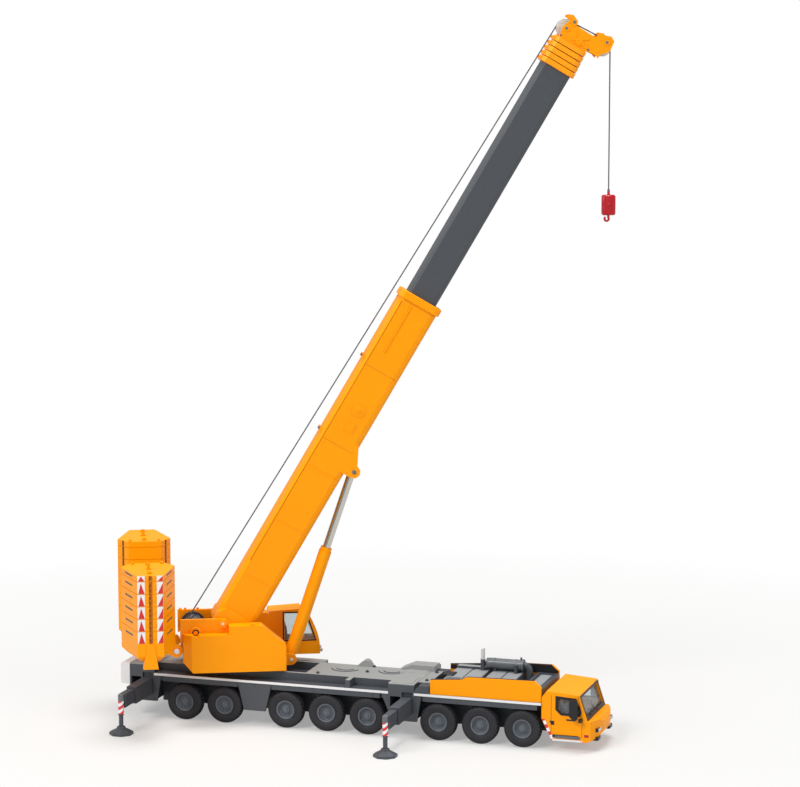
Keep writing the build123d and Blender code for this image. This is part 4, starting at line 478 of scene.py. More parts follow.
for number, x in enumerate(AXLES, start=1):
    mesh = bmesh.new()
    for side in (-1, 1):
        tyre(mesh, x, side * TREAD_MIDDLE)
    made = piece(f"road_tyres_{number}", mesh, CARRIER, f"wheels_{number}", rubber.material, 30)
    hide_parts(f"tyres_{number}")
    mesh = bmesh.new()
    for side in (-1, 1):
        face = side * RIM_FACE
        turned(mesh, [(r, side * o) for r, o in RIM], (x, face, AXLE_HEIGHT), 40)
        for k in range(NUTS):
            angle = 2 * pi * k / NUTS
            nut = Vector((x + NUT_CIRCLE * cos(angle), face, AXLE_HEIGHT + NUT_CIRCLE * sin(angle)))
            rod(mesh, nut, nut + Vector((0, side * 0.4, 0)), 0.24, 6)
        rod(mesh, (x, side * 15.7, AXLE_HEIGHT), (x, side * 16.2, AXLE_HEIGHT), 0.85, 20, 0.7)
    rod(mesh, (x, -RIM_FACE, AXLE_HEIGHT), (x, RIM_FACE, AXLE_HEIGHT), 1.0, 20)
    made = piece(f"rims_{number}", mesh, CARRIER, f"wheels_{number}", rim_grey)
    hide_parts(f"wheelset_{number}")
print("wheels", len(AXLES) * 2)

# %% [markdown]
# Warning stripes are printed on the outrigger legs and down the rear edge of the cab. A red and
# white pattern that follows the sum of height and side gives the slant, with no image needed.

# %% Warning stripes
def stripes(name, pitch_mm, slant):
    made = Finish(name, srgb(214, 40, 44), 0.4, Coat_Weight=0.15)
    run = made.axis("Z") + (made.axis("X") + made.axis("Y")) * slant
    band = (run * (1 / pitch_mm)).math("FRACT") > 0.5
    worn = made.noise(1.2, 3) * 0.12
    red_worn, white_worn = srgb(186, 40, 44), srgb(206, 206, 208)
    made.feed("Base Color", made.mix(band, made.mix(worn, srgb(214, 40, 44), red_worn),
                                     made.mix(worn, srgb(232, 233, 235), white_worn)))
    made.bump(made.noise(0.8, 2), 0.01, 0.4)
    return made.material


leg_stripes = stripes("leg_stripes", 2.9, -0.55)
cab_stripes = stripes("cab_stripes", 3.6, -0.4)

# %% [markdown]
# Each outrigger ends in a sleeve for its leg, slimmer than the CAD one, so a new beam and
# sleeve replace its look. The sleeve is a turned tube, so that its bore stays open. A grey cap
# closes its top, stripes below warn of the leg, and the pad gets a raised ring and four ribs.

# %% Outrigger ends
LEG_Y, BEAM_ROOT, BEAM_TIP, BEAM_HALF = 47.9, 19.0, 46.8, 1.62
BEAM_MIDDLES = {"rear_right": -17.45, "rear_left": -22.95, "front_right": 104.25, "front_left": 98.75}
SLEEVE = [(1.08, 8.6), (1.2, 8.6), (1.28, 8.7), (1.28, 8.9), (1.18, 9.0), (1.18, 17.3), (0, 17.3)]
STRIPED = [(1.18, 9.2), (1.23, 9.2), (1.23, 15.0), (1.18, 15.0)]
LEG_CAP = [(1.18, 15.0), (1.3, 15.0), (1.3, 17.6), (1.1, 17.8), (0, 17.8)]
PAD_RING = [(1.25, 0), (1.25, 1.5), (1.75, 1.3), (2.1, 0.5), (2.1, 0), (1.25, 0)]
RIB_RUN, PAD_RIBS = 2.2, 4


def upright(mesh, profile, x, y, steps=28):
    """A (radius, z) profile turned about the vertical through (x, y)."""
    spin_line(mesh, [(x + r, y, z) for r, z in profile], (x, y, 0), (0, 0, 1), steps)


for corner_name, x in BEAM_MIDDLES.items():
    side = -1 if "right" in corner_name else 1
    y = LEG_Y * side
    body = f"inner_beam_{corner_name}"
    mesh = bmesh.new()
    ends = sorted((side * BEAM_ROOT, side * BEAM_TIP))
    block(mesh, (x - BEAM_HALF, ends[0], 11.5), (x + BEAM_HALF, ends[1], 17.7), 0.25)
    upright(mesh, SLEEVE, x, y)
    made = piece(f"stage_{corner_name}", mesh, CARRIER, body, dark_grey)
    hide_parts(f"inner_beam_{corner_name}")
    mesh = bmesh.new()
    upright(mesh, STRIPED, x, y)
    piece(f"leg_stripes_{corner_name}", mesh, CARRIER, body, leg_stripes)
    mesh = bmesh.new()
    upright(mesh, LEG_CAP, x, y)
    piece(f"leg_cap_{corner_name}", mesh, CARRIER, body, steel_grey)
    mesh = bmesh.new()
    turned(mesh, PAD_RING, (0, 0, 0), 24)
    stand_up = Matrix.Translation((x, y, 2.2)) @ Matrix.Rotation(radians(90), 4, "X")
    bmesh.ops.transform(mesh, matrix=stand_up, verts=mesh.verts)
    for k in range(PAD_RIBS):
        angle = 2 * pi * k / PAD_RIBS + pi / 4
        out = Vector((cos(angle), sin(angle), 0))
        start = Vector((x, y, 2.0)) + out * 1.6
        rod(mesh, start, start + out * RIB_RUN + Vector((0, 0, -0.7)), 0.28, 8)
    piece(f"pad_foot_{corner_name}", mesh, CARRIER, f"leg_{corner_name}", dark_grey)
print("outrigger ends", len(BEAM_MIDDLES))

# %% [markdown]
# The deck behind the cab is a grey moulding, painted pale on its upper faces as painted light,
# with low curved ribs, a few screw heads and the plates over the outrigger boxes. The ribs are
# parts of flat rings: a turned profile is cut to an arc by spinning it through less than a full
# circle.

# %% Deck details
RIB_ARCS = (
    (69.4, 3.6, 6.4, 195, 150), (69.4, 3.9, 4.2, 200, 140),
    (90.6, 5.2, 6.2, 195, 150), (90.6, 5.4, 4.0, 200, 140),
)
DECK_SCREWS = (
    (80.6, -0.4), (80.6, 9.6), (110.4, 7.6), (110.4, -7.6), (60.4, -9.0), (-17.0, 8.6), (-17.0, -8.6),
)
BOX_PLATES = (
    ((97.0, -15.6), (106.0, -4.0)), ((97.0, 4.0), (106.0, 9.6)),
    ((-24.6, -15.6), (-16.0, -4.0)), ((-24.6, 4.0), (-16.0, 15.6)),
)
FITTINGS = (33.4, -11.0, 60.8, 74.0, 88.0, 118.2, 126.9, 146.9)


def rib_arc(mesh, x, y, radius, start, sweep):
    """A low rib on the deck along part of a circle."""
    turn = Matrix.Translation((x, y, DECK_TOP)) @ Matrix.Rotation(radians(start), 4, "Z")
    profile = ((-0.22, 0.0), (-0.12, 0.26), (0.12, 0.26), (0.22, 0.0))
    places = [turn @ Vector((radius + r, 0, z)) for r, z in profile]
    spin_line(mesh, places, (x, y, DECK_TOP), (0, 0, 1), 18, radians(sweep))


def screw(mesh, x, y, z, radius=0.62, height=0.8):
    """A screw head on a washer."""
    rod(mesh, (x, y, z - 0.2), (x, y, z + height * 0.35), radius * 1.35, 18)
    rod(mesh, (x, y, z), (x, y, z + height), radius, 6)


mesh = bmesh.new()
for arc in RIB_ARCS:
    rib_arc(mesh, *arc)
for x, y in DECK_SCREWS:
    screw(mesh, x, y, DECK_TOP)
piece("deck_ribs_screws", mesh, CARRIER, "carrier", dark_grey)
mesh = bmesh.new()
for low, high in BOX_PLATES:
    block(mesh, (*low, 24.1), (*high, 24.42), 0.12)
block(mesh, (-8.0, -10.4, 24.0), (8.4, -3.4, 24.28), 0.1)
block(mesh, (-8.0, 3.4, 24.0), (8.4, 10.4, 24.28), 0.1)
piece("deck_plates", mesh, CARRIER, "carrier", deck_plate)
mesh = bmesh.new()
for side in (-1, 1):
    for x in FITTINGS:
        block(mesh, (x - 0.5, side * 16.7 - 0.25, 17.6), (x + 0.5, side * 16.7 + 0.25, 19.0), 0.1)
piece("guard_fittings", mesh, CARRIER, "carrier", dark_grey)
print("deck details", len(RIB_ARCS), "ribs", len(DECK_SCREWS), "screws")

# %% [markdown]
# Between the hood's panels lie the pale engine covers, the silencer with its elbow, and the
# exhaust. The covers are thin plates with narrow gaps, so the dark deck shows as seams.

# %% Engine covers
COVERS = ((118.8, 126.0), (126.5, 133.8), (135.6, 142.2), (142.7, 149.2))
COVER_SCREWS = ((127.2, -13.4), (133.0, -13.4), (136.4, -13.4), (148.4, -13.4), (127.2, 9.8), (136.4, 9.8))
HOOD_WALL = 14.9
HOOD_INSIDE = [
    (114.6, 24.6), (114.6, 26.5), (128.6, 27.65), (131.3, 28.95), (161.0, 29.45), (164.0, 27.0),
    (164.0, 26.0),
]
HOOD_EDGE = [
    (114.5, 26.65), (128.6, 27.75), (131.3, 29.05), (161.0, 29.55), (161.0, 29.7), (131.1, 29.2),
    (128.4, 27.9), (114.5, 26.85),
]
mesh = bmesh.new()
for start, end in COVERS:
    block(mesh, (start, -14.3, 25.9), (end, 10.6, 26.28), 0.12)
block(mesh, (157.0, -11.6, 25.3), (161.8, 11.6, 25.75), 0.15)
slab(mesh, [(118.8, 11.3), (149.2, 11.3), (149.2, 14.5), (118.8, 14.5)], 27.05, 27.2, 0.05)
piece("engine_covers", mesh, CARRIER, "carrier", plate_grey)
mesh = bmesh.new()
block(mesh, (116.2, -4.6, 24.6), (121.6, 1.4, 26.9), 0.3)
block(mesh, (134.0, -14.2, 25.9), (135.4, 10.4, 26.5), 0.2)
for side in (-1, 1):
    edge = side * HOOD_WALL
    prism(mesh, HOOD_INSIDE, edge, edge - side * 0.12)
    prism(mesh, HOOD_EDGE, edge - side * 0.12, edge + side * 0.85)
piece("hood_lining", mesh, CARRIER, "carrier", black)
mesh = bmesh.new()
for k in range(6):
    x = 119.6 + k * 1.05
    block(mesh, (x, -13.4, 26.2), (x + 0.45, -6.4, 26.5), 0.08)
for x, y in COVER_SCREWS:
    screw(mesh, x, y, 26.2, 0.4, 0.4)
piece("engine_vents", mesh, CARRIER, "carrier", dark_grey)
print("engine covers", len(COVERS))

# %% [markdown]
# The silencer is a turned drum with domed ends and two clamp bands. The bent pipe ahead of it
# comes from a ring spun through a quarter turn, which is how a tube bender would shape it.

# %% Silencer and exhaust
SILENCER_Y = 10.6
DRUM = [
    (0.0, 0.0), (1.6, 0.0), (2.15, 0.35), (2.3, 0.9), (2.3, 3.0), (2.42, 3.1), (2.42, 3.9), (2.3, 4.0),
    (2.3, 13.0), (2.42, 13.1), (2.42, 13.9), (2.3, 14.0), (2.3, 16.0), (2.62, 16.2), (2.62, 17.0),
    (1.5, 17.15), (0.0, 17.15),
]
mesh = bmesh.new()
turned(mesh, DRUM, (0, 0, 0))
lay_down = Matrix.Translation((132.5, SILENCER_Y, 29.6)) @ Matrix.Rotation(-pi / 2, 4, "Z")
bmesh.ops.transform(mesh, matrix=lay_down, verts=mesh.verts)
rod(mesh, (148.2, SILENCER_Y, 31.8), (148.2, SILENCER_Y, 33.0), 0.5, 12)
piece("silencer_drum", mesh, CARRIER, "carrier", steel_grey)
mesh = bmesh.new()
bent_tube(mesh, (149.6, SILENCER_Y, 27.1), 2.5, 1.45, 90, -90)
rod(mesh, (152.1, SILENCER_Y, 27.1), (152.1, SILENCER_Y, 23.6), 1.45, 14)
rod(mesh, (146.4, 8.0, 26.2), (146.4, 8.0, 29.6), 0.7, 14)
rod(mesh, (146.4, 8.0, 29.6), (146.4, 8.0, 30.0), 0.95, 14)
rod(mesh, (130.9, 10.0, 26.0), (130.9, 10.0, 31.2), 1.1, 18)
piece("exhaust_pipes", mesh, CARRIER, "carrier", dark_grey)
print("silencer and pipes")

# %% [markdown]
# The cab wears black frames round its side windows, with a handle, a corner plate and the seams
# of its doors, which are thin black lines of painted shade in their grooves. Both sides share one
# outline, and each frame is a ring that is inset from the window's edge and drawn outward from
# the wall.

# %% Cab trim
CAB_SIDE = 16.3
WINDOW = [(170.8, 23.95), (180.1, 23.35), (182.45, 17.6), (181.75, 15.55), (173.3, 15.55), (170.8, 17.9)]
CORNER_PLATE = [(168.3, 12.9), (170.3, 12.9), (170.3, 11.2), (168.9, 11.2)]
DOOR_SEAMS = (
    [(168.85, 6.6), (169.0, 6.6), (169.0, 24.2), (168.85, 24.2)],
    [(182.5, 6.4), (182.65, 6.4), (182.75, 14.3), (180.95, 24.2), (180.8, 24.2), (182.6, 14.3)],
)
# Painted shade: each door seam is a thin black line that stands for the shade in its groove.
mesh = bmesh.new()
for side in (-1, 1):
    wall = side * CAB_SIDE
    frame_ring(mesh, WINDOW, *off_wall(wall, side, 0.12), 1.1)
    prism(mesh, CORNER_PLATE, *off_wall(wall, side, 0.18), 0.05)
    for seam in DOOR_SEAMS:
        prism(mesh, seam, *off_wall(wall, side, 0.04))
    block(mesh, (175.6, wall - 0.06, 13.4), (179.2, wall + 0.06, 14.1), 0.04)
piece("cab_side_frames", mesh, CARRIER, "carrier", black)

# %% [markdown]
# The screen leans back, so its frame and wipers find their x from their height, on the line
# between the screen's foot and its top. Under it the nose has three slats.

# %% Screen frame and wipers
SCREEN_FOOT, SCREEN_TOP, SCREEN_HALF = (184.9, 13.6), (181.2, 24.7), 15.4
lean = (SCREEN_TOP[0] - SCREEN_FOOT[0]) / (SCREEN_TOP[1] - SCREEN_FOOT[1])


def on_screen(z, lift):
    """The x of a point on the leaning screen, lifted off its face."""
    return SCREEN_FOOT[0] + lean * (z - SCREEN_FOOT[1]) + lift


def screen_bar(mesh, low, high, start, end):
    """A thin bar on the screen between two heights, from y = start to y = end."""
    inner = [(on_screen(z, -0.1), z) for z in (low, high)]
    outer = [(on_screen(z, 0.18), z) for z in (low, high)]
    prism(mesh, [inner[0], *outer, inner[1]], start, end)


mesh = bmesh.new()
for low, high in ((13.7, 15.3), (23.6, 24.3)):
    screen_bar(mesh, low, high, -SCREEN_HALF, SCREEN_HALF)
for side in (-1, 1):
    edge = side * SCREEN_HALF
    screen_bar(mesh, 15.3, 23.6, edge, edge - side * 1.0)
for y in (-9.0, 1.5):
    rod(mesh, (on_screen(15.2, 0.3), y, 15.2), (on_screen(16.4, 0.3), y + 7.5, 16.4), 0.22, 8)
    rod(mesh, (on_screen(15.0, -0.1), y, 15.0), (on_screen(15.0, 0.5), y, 15.05), 0.42, 12)
for z in (11.9, 12.5, 13.1):
    block(mesh, (186.3 - (z - 11.9) * 0.6, -9.4, z), (187.2 - (z - 11.9) * 0.9, 9.4, z + 0.28), 0.06)
piece("screen_frame_wipers", mesh, CARRIER, "carrier", black)
print("screen leans by", round(lean, 3))

# %% [markdown]
# Low on the cab's sides run a grey sill and a white strip, and its rear edge is striped. All
# are prisms on the wall. The lamp lenses are small turned domes, laid to face forwards.

# %% Sills, stripes and lamps
BOTTOM_STRIP = [(169.6, 4.25), (181.6, 4.25), (183.4, 4.9), (181.4, 5.05), (169.2, 5.05)]
REAR_STRIPE = [(164.75, 13.5), (166.1, 13.5), (170.4, 4.4), (169.15, 4.4)]
LENS = [(0.0, 0.62), (0.45, 0.55), (0.85, 0.25), (0.85, -0.4)]
mesh, sill = bmesh.new(), bmesh.new()
for side in (-1, 1):
    wall = side * CAB_SIDE
    plate(sill, (170.7, 5.5), (181.8, 6.7), *off_wall(wall, side, 0.42), 0.06)
    prism(mesh, BOTTOM_STRIP, *off_wall(wall, side, 0.08))
piece("cab_bottom_strips", mesh, CARRIER, "carrier", white)
piece("cab_sills", sill, CARRIER, "carrier", steel_grey)
mesh = bmesh.new()
for side in (-1, 1):
    prism(mesh, REAR_STRIPE, *off_wall(side * CAB_SIDE, side, 0.06))
piece("cab_rear_stripes", mesh, CARRIER, "carrier", cab_stripes)
mesh = bmesh.new()
for side in (-1, 1):
    wall = side * CAB_SIDE
    block(mesh, (183.6, wall - 0.12, 6.6), (185.6, wall + 0.12, 7.8), 0.05)
    block(mesh, (-30.36, side * 11.4 - 2.6, 17.2), (-30.0, side * 11.4 + 2.6, 19.0), 0.08)
piece("lamps_red", mesh, CARRIER, "carrier", lamp_red)
mesh = bmesh.new()
for y in (-9.6, -11.7, 9.6, 11.7):
    earlier = set(mesh.verts)
    turned(mesh, LENS, (0, 0, 0), 20)
    place = Matrix.Translation((189.0, y, 9.2)) @ Matrix.Rotation(-pi / 2, 4, "Z") @ Matrix.Scale(0.8, 4)
    bmesh.ops.transform(mesh, matrix=place, verts=[v for v in mesh.verts if v not in earlier])
piece("lamps_clear", mesh, CARRIER, "carrier", lamp_clear)
print("sills, stripes and lamps")

# %% [markdown]
# A steering wheel shows through the screen. Its rim is a small ring of six sides in section,
# turned about the y axis, with three spokes, and then tilted onto its column.

# %% Steering wheel
HUB = (180.4, 7.5, 15.4)
GRIP = [(1.9, 0.0), (1.98, 0.12), (2.2, 0.12), (2.28, 0.0), (2.2, -0.12), (1.98, -0.12), (1.9, 0.0)]
mesh = bmesh.new()
turned(mesh, GRIP, (0, 0, 0), 28)
for k in range(3):
    angle = 2 * pi * k / 3
    rod(mesh, (0, 0, 0), (2.0 * cos(angle), 0, 2.0 * sin(angle)), 0.16, 8)
tilt = Matrix.Rotation(radians(62), 4, "Y") @ Matrix.Rotation(pi / 2, 4, "X")
bmesh.ops.transform(mesh, matrix=Matrix.Translation(HUB) @ tilt, verts=mesh.verts)
rod(mesh, HUB, (182.2, 7.5, 14.2), 0.4, 10)
piece("steering_wheel", mesh, CARRIER, "carrier", black)
print("steering wheel at", HUB)

# %% [markdown]
# The superstructure carries pins with pale ends, a drum for the hoist rope, and nubs where the
# rope guides sit. The coil on the drum is one turned profile with a ridge for every turn of
# the rope, and it rides the winch so that it turns with the drum.

# %% Superstructure details
FOOT_U, FOOT_Z, WINCH_U, WINCH_Z = BOOM_FOOT[0], BOOM_FOOT[2], -32.3, 41.9
BEARING = [(1.7, 0.05), (1.7, 0.8), (2.5, 0.8), (2.7, 0.6), (2.7, -0.05)]
COIL_TURNS, COIL_HALF, COIL_CORE, COIL_ROOT, COIL_CREST = 21, 6.3, 3.6, 4.2, 4.42


def disc(mesh, u, v, z, radius, reach, segments=24):
    """A flat disc on an upright side wall, with a bevelled rim, standing off by reach."""
    side = 1 if reach > 0 else -1
    profile = [(0.0, reach), (radius * 0.82, reach), (radius, reach - side * 0.1), (radius, -side * 0.05)]
    turned(mesh, profile, (u, v, z), segments)


mesh = bmesh.new()
for side in (-1, 1):
    disc(mesh, FOOT_U, side * 11.6, FOOT_Z, 0.6, side * 0.22)
    disc(mesh, -40.75, side * 11.5, 33.8, 1.2, side * 0.25)
    disc(mesh, 10.5, side * 6.9, 27.4, 0.7, side * 0.2)
piece("pin_ends", mesh, SUPER, "superstructure", white)
# Painted shade: the black disc on each side of the drum stands for the shade in the recess round its boss.
mesh = bmesh.new()
for side in (-1, 1):
    disc(mesh, WINCH_U, side * 11.0, WINCH_Z, 1.7, side * 0.66)
rod(mesh, (-23.9, 9.0, 43.4), (-23.9, 9.0, 47.2), 0.5, 12)
piece("turret_dark_details", mesh, SUPER, "superstructure", black)
mesh = bmesh.new()
block(mesh, (-8.3, -16.0, 45.3), (-6.2, -14.6, 46.6), 0.15)
for u in (-38.4, -36.2, -30.6):
    block(mesh, (u, 9.6, 47.7), (u + 1.2, 10.6, 48.6), 0.12)
for side in (-1, 1):
    disc(mesh, FOOT_U, side * 11.55, FOOT_Z, 2.0, side * 0.12)
    turned(mesh, [(r, side * o) for r, o in BEARING], (WINCH_U, side * 11.0, WINCH_Z), 28)
    disc(mesh, WINCH_U, side * 11.6, WINCH_Z, 1.0, side * 0.3)
piece("turret_nubs", mesh, SUPER, "superstructure", orange)
coil = [(COIL_CORE, -COIL_HALF)]
for k in range(COIL_TURNS):
    v = -COIL_HALF + (k + 0.5) * 2 * COIL_HALF / COIL_TURNS
    coil += [(COIL_ROOT, v - 0.27), (COIL_CREST, v - 0.12), (COIL_CREST, v + 0.12), (COIL_ROOT, v + 0.27)]
coil.append((COIL_CORE, COIL_HALF))
mesh = bmesh.new()
turned(mesh, coil, (WINCH_U, 0, WINCH_Z), 40)
piece("wound_rope", mesh, SUPER, "winch", thread.material)
print("superstructure details, turns of rope", COIL_TURNS)

# %% [markdown]
# The operator's cab on the left has dark frames round its side windows too, made as on the
# driver's cab, with a few black fittings and two silver bumpers at its front.

# %% Operator cab frames
PANE = [(8.6, 30.9), (24.0, 30.9), (20.5, 41.2), (16.6, 44.5), (8.6, 44.5)]
mesh = bmesh.new()
for wall, side in ((26.0, 1), (14.0, -1)):
    frame_ring(mesh, PANE, *off_wall(wall, side, 0.1), 0.6)
block(mesh, (25.3, 16.0, 28.2), (25.62, 24.0, 28.7), 0.05)
block(mesh, (3.0, 26.0, 36.6), (3.8, 26.3, 39.0), 0.08)
block(mesh, (2.25, 15.4, 33.0), (2.45, 24.6, 33.4), 0.05)
piece("operator_frames", mesh, SUPER, "superstructure", black)
mesh = bmesh.new()
for v in (16.2, 22.4):
    block(mesh, (25.2, v, 25.2), (27.0, v + 1.8, 26.6), 0.15)
piece("operator_bumpers", mesh, SUPER, "superstructure", silver)
print("operator cab frames")

# %% [markdown]
# The counterweight is two stacks of slabs hung behind. Each outer face shows a white band with
# a red wedge per slab at both its edges, and between them a groove whose shade is painted as a
# darker orange strip with brown dashes. The angled faces have one lifting slot per slab and a
# groove, both drawn as dark plates of painted shade. All of it is thin plates on faces that the
# CAD outline gives.

# %% Counterweight marks
MIDDLE, FACE, STACK_FOOT, SLAB, CAP = -53.3, 38.0, 43.8, 5.5, 2.7
BANDS = ((-58.85, -55.6), (-50.4, -47.75))
WEDGES = ((-58.4, -55.7, -57.3), (-50.0, -47.8, -47.8))
GROOVE = (-53.9, -52.3)
GROOVE_RIBS = ((-54.8, -53.95), (-52.2, -51.0))
KNOBS = ((14.0, 0.5), (24.0, 2.2), (33.0, 0.4))


def face_plate(mesh, start, end, from_share, to_share, low, high, thick=0.05):
    """A thin plate on an upright face that runs from start to end in plan."""
    start, end = Vector(start), Vector(end)
    along = end - start
    out = Vector((along.y, -along.x)).normalized()
    if out.dot((start + end) / 2 - Vector((MIDDLE, 22 if start.y > 0 else -22))) < 0:
        out = -out
    a, b = start + along * from_share, start + along * to_share
    plan = (a - out * 0.05, b - out * 0.05, b + out * thick, a + out * thick)
    slab(mesh, [(p.x, p.y) for p in plan], low, high)


# The strips, dashes, slots and grooves below are dark plates of painted shade in recesses.
bands, wedges, slots, ribs, grooves, strips = (bmesh.new() for _ in range(6))
for side, count in ((-1, 5), (1, 6)):
    face = side * FACE
    levels = [(STACK_FOOT + SLAB * k, SLAB) for k in range(count)] + [(STACK_FOOT + SLAB * count, CAP)]
    for bottom, height in levels:
        low, high, middle = bottom + 0.2, bottom + height - 0.2, bottom + height / 2
        for left, right in BANDS:
            plate(bands, (left, low), (right, high), *off_wall(face, side, 0.04))
        tall = min(4.6, height - 0.5)
        for left, right, apex in WEDGES:
            prism(wedges, [(left, low), (right, low), (apex, low + tall)], face, face + side * 0.07)
        plate(strips, (GROOVE[0], low), (GROOVE[1], high), *off_wall(face, side, 0.03))
        for rise in (0.3, 2.6) if height > 4 else (0.4,):
            z = low + rise
            dash = [(-53.7, z), (-53.0, z + 0.5), (-53.0, z + 1.7), (-53.7, z + 1.3)]
            prism(grooves, dash, face, face + side * 0.06)
        for left, right in GROOVE_RIBS:
            plate(ribs, (left, middle - 0.9), (right, middle + 0.9), *off_wall(face, side, 0.3), 0.1)
        for turn in (-1, 1):
            shoulder, outer = (MIDDLE + turn * 11.8, side * 17.0), (MIDDLE + turn * 5.75, face)
            face_plate(slots, shoulder, outer, 0.28, 0.72, middle - 0.35, middle + 0.35)
            inner = (MIDDLE + turn * 7.3, side * 10.0)
            face_plate(grooves, inner, shoulder, 0.4, 0.56, low, high)
    top = levels[-1][0] + CAP
    for v, tall in KNOBS:
        rod(ribs, (MIDDLE, side * v, top - 0.1), (MIDDLE, side * v, top + 0.4), 1.0, 20)
        rod(ribs, (MIDDLE, side * v, top + 0.4), (MIDDLE, side * v, top + tall + 0.4), 0.6, 16)
    for turn in (-1, 1):
        u, v = MIDDLE + turn * 6.4, side * 12.0
        block(ribs, (u - 0.6, v - 0.6, top - 0.1), (u + 0.6, v + 0.6, top + 0.7), 0.12)
piece("weight_bands", bands, SUPER, "superstructure", white)
piece("weight_wedges", wedges, SUPER, "superstructure", red)
piece("weight_slots", slots, SUPER, "superstructure", slot_shade_blue)
piece("weight_ribs", ribs, SUPER, "superstructure", orange)
piece("weight_strips", strips, SUPER, "superstructure", shade_orange)
piece("weight_grooves", grooves, SUPER, "superstructure", groove_shade_brown)
print("counterweight marks")

# %% [markdown]
# On the boom's base section sit a round boss, a square plate, three narrow strips and the seams
# between its weldments. They are the same orange and read only by their edges, which is why
# each one is bevelled or has a line of painted shade beside it, in a darker orange.

# %% Boom details
BOOM_WALL = 6.5
mesh = bmesh.new()
for side in (-1, 1):
    wall = side * BOOM_WALL
    disc(mesh, 111.7, wall + side * 0.3, -5.0, 1.9, side * 0.3, 28)
    disc(mesh, 111.7, wall + side * 0.5, -5.0, 0.6, side * 0.4, 16)
    block(mesh, (102.1, wall - 0.25, -6.5), (104.3, wall + 0.25, -4.3), 0.08)
    for a in (24.0, 52.0, 80.0):
        block(mesh, (a, wall - 0.16, -12.6), (a + 0.5, wall + 0.16, 2.6), 0.06)
piece("boom_bosses", mesh, BOOM, "boom", orange)
# Painted shade: the seams are thin lines in a darker orange.
mesh = bmesh.new()
for side in (-1, 1):
    wall = side * BOOM_WALL
    for a in (93.5, 131.0, 163.9):
        plate(mesh, (a, -12.8), (a + 0.12, 2.8), *off_wall(wall, side, 0.05))
    plate(mesh, (30.0, 2.95), (163.0, 3.07), wall - side * 0.4, wall + side * 0.04)
piece("boom_seams", mesh, BOOM, "boom", shade_orange)
mesh = bmesh.new()
for side in (-1, 1):
    disc(mesh, 86.7, side * 6.55, -17.4, 0.95, side * 0.35)
piece("eye_pin_caps", mesh, BOOM, "cylinder_rod_end", steel_grey)
mesh = bmesh.new()
for a in (95.7, 133.3):
    rod(mesh, (a, -1.2, 5.4), (a, 1.2, 5.4), 0.42, 12)
piece("rope_guides", mesh, BOOM, "boom", steel_grey)
print("boom details")

# %% [markdown]
# The head carries two sheaves between its plates, and their pins end in grey discs on orange
# bosses. Everything here rides the last section, so it travels out with the telescope.

# %% Boom head details
HEAD_WALL = 4.4
HEAD_PINS = (
    (306.6, -1.0, 0.75, 0.45), (306.3, -18.1, 0.75, 0.4), (302.5, 0.7, 0.75, 0.4),
    (298.7, 1.3, 0.45, 0.25), (299.2, -12.5, 0.5, 0.25),
)
mesh = bmesh.new()
for side in (-1, 1):
    for a, z, radius, stand in HEAD_PINS:
        disc(mesh, a, side * HEAD_WALL, z, radius, side * stand)
piece("head_pins", mesh, BOOM, "tele_5", steel_grey)
mesh = bmesh.new()
for side in (-1, 1):
    wall = side * HEAD_WALL
    for a, z in ((306.6, -1.0), (302.5, 0.7)):
        disc(mesh, a, wall, z, 1.35, side * 0.2)
    block(mesh, (298.6, wall - 0.3, -8.4), (302.6, wall + 0.3, -5.6), 0.1)
    prism(mesh, [(298.8, -10.4), (301.4, -10.8), (299.6, -12.4)], side * 4.3, side * 4.7, 0.08)
piece("head_bosses", mesh, BOOM, "tele_5", orange)
print("boom head details")

# %% [markdown]
# The hook block is a red barrel with a darker band round its middle and a pin through it. It
# replaces the CAD block, whose corners are cut off more than the photograph shows, and hangs
# in a frame that starts at the lower end of its rope.

# %% Hook block
rope_low, rope_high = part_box("hook_rope")
rope_end = ((rope_low.x + rope_high.x) / 2, (rope_low.y + rope_high.y) / 2, rope_low.z)
HOOK = Matrix.Translation(rope_end) @ MM @ Matrix.Rotation(radians(SLEW), 4, "Z")
mesh = bmesh.new()
block(mesh, (-3.0, -1.55, -11.0), (3.0, 1.55, -1.95), 0.6)
block(mesh, (-1.1, -1.66, -10.3), (1.1, 1.66, -2.7), 0.12)
for side in (-1, 1):
    disc(mesh, 0, side * 1.66, -6.2, 0.7, side * 0.2)
rod(mesh, (0, 0, -2.3), (0, 0, -0.3), 0.75, 14, 0.5)
rod(mesh, (0, 0, -12.3), (0, 0, -10.6), 0.55, 14)
bent_tube(mesh, (-0.75, 0, -12.6), 0.95, 0.5, 15, -250, 16)
made = piece("hook_cheeks", mesh, HOOK, "hook", hook_red)
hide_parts("hook_block")
mesh = bmesh.new()
upright(mesh, [(0, -0.55), (0.55, -0.4), (0.7, 0.0), (0.55, 0.35), (0.4, 0.5), (0, 0.55)], 0, 0, 16)
piece("rope_knot", mesh, HOOK, "hook", thread.material)
print("hook block", [round(v, 4) for v in HOOK.translation])

# %% [markdown]
# The camera stands where the photographer's did, worked out from the wheels, the pads and the
# superstructure: 17.6 degrees off the carrier's right side, 8.6 above the floor, 1.31 m away.

# %% Camera
azimuth, elevation, distance = radians(17.599), radians(8.551), 1310.56
target = CARRIER @ Vector((95.657, 0, 149.39))
away = Vector((sin(azimuth) * cos(elevation), -cos(azimuth) * cos(elevation), sin(elevation)))
lens = bpy.data.cameras.new("photo_camera")
lens.sensor_width, lens.lens, lens.clip_start, lens.clip_end = 36, 135.48, 0.05, 60
camera = bpy.data.objects.new("photo_camera", lens)
camera.location = target + away * distance * 0.001
camera.rotation_mode = "QUATERNION"
camera.rotation_quaternion = (-away).to_track_quat("-Z", "Y")
bpy.context.scene.collection.objects.link(camera)
bpy.context.scene.camera = camera
print("camera at", [round(v, 3) for v in camera.location])

# %% [markdown]
# A product photograph on white has a large soft light above and to the left, a weaker one on
# the right, and a floor that fades into the background. Both floor and world show plain white
# to the camera. Near the model the floor keeps most of its own shading, so that a soft shadow
# stays, and the white takes over with distance.

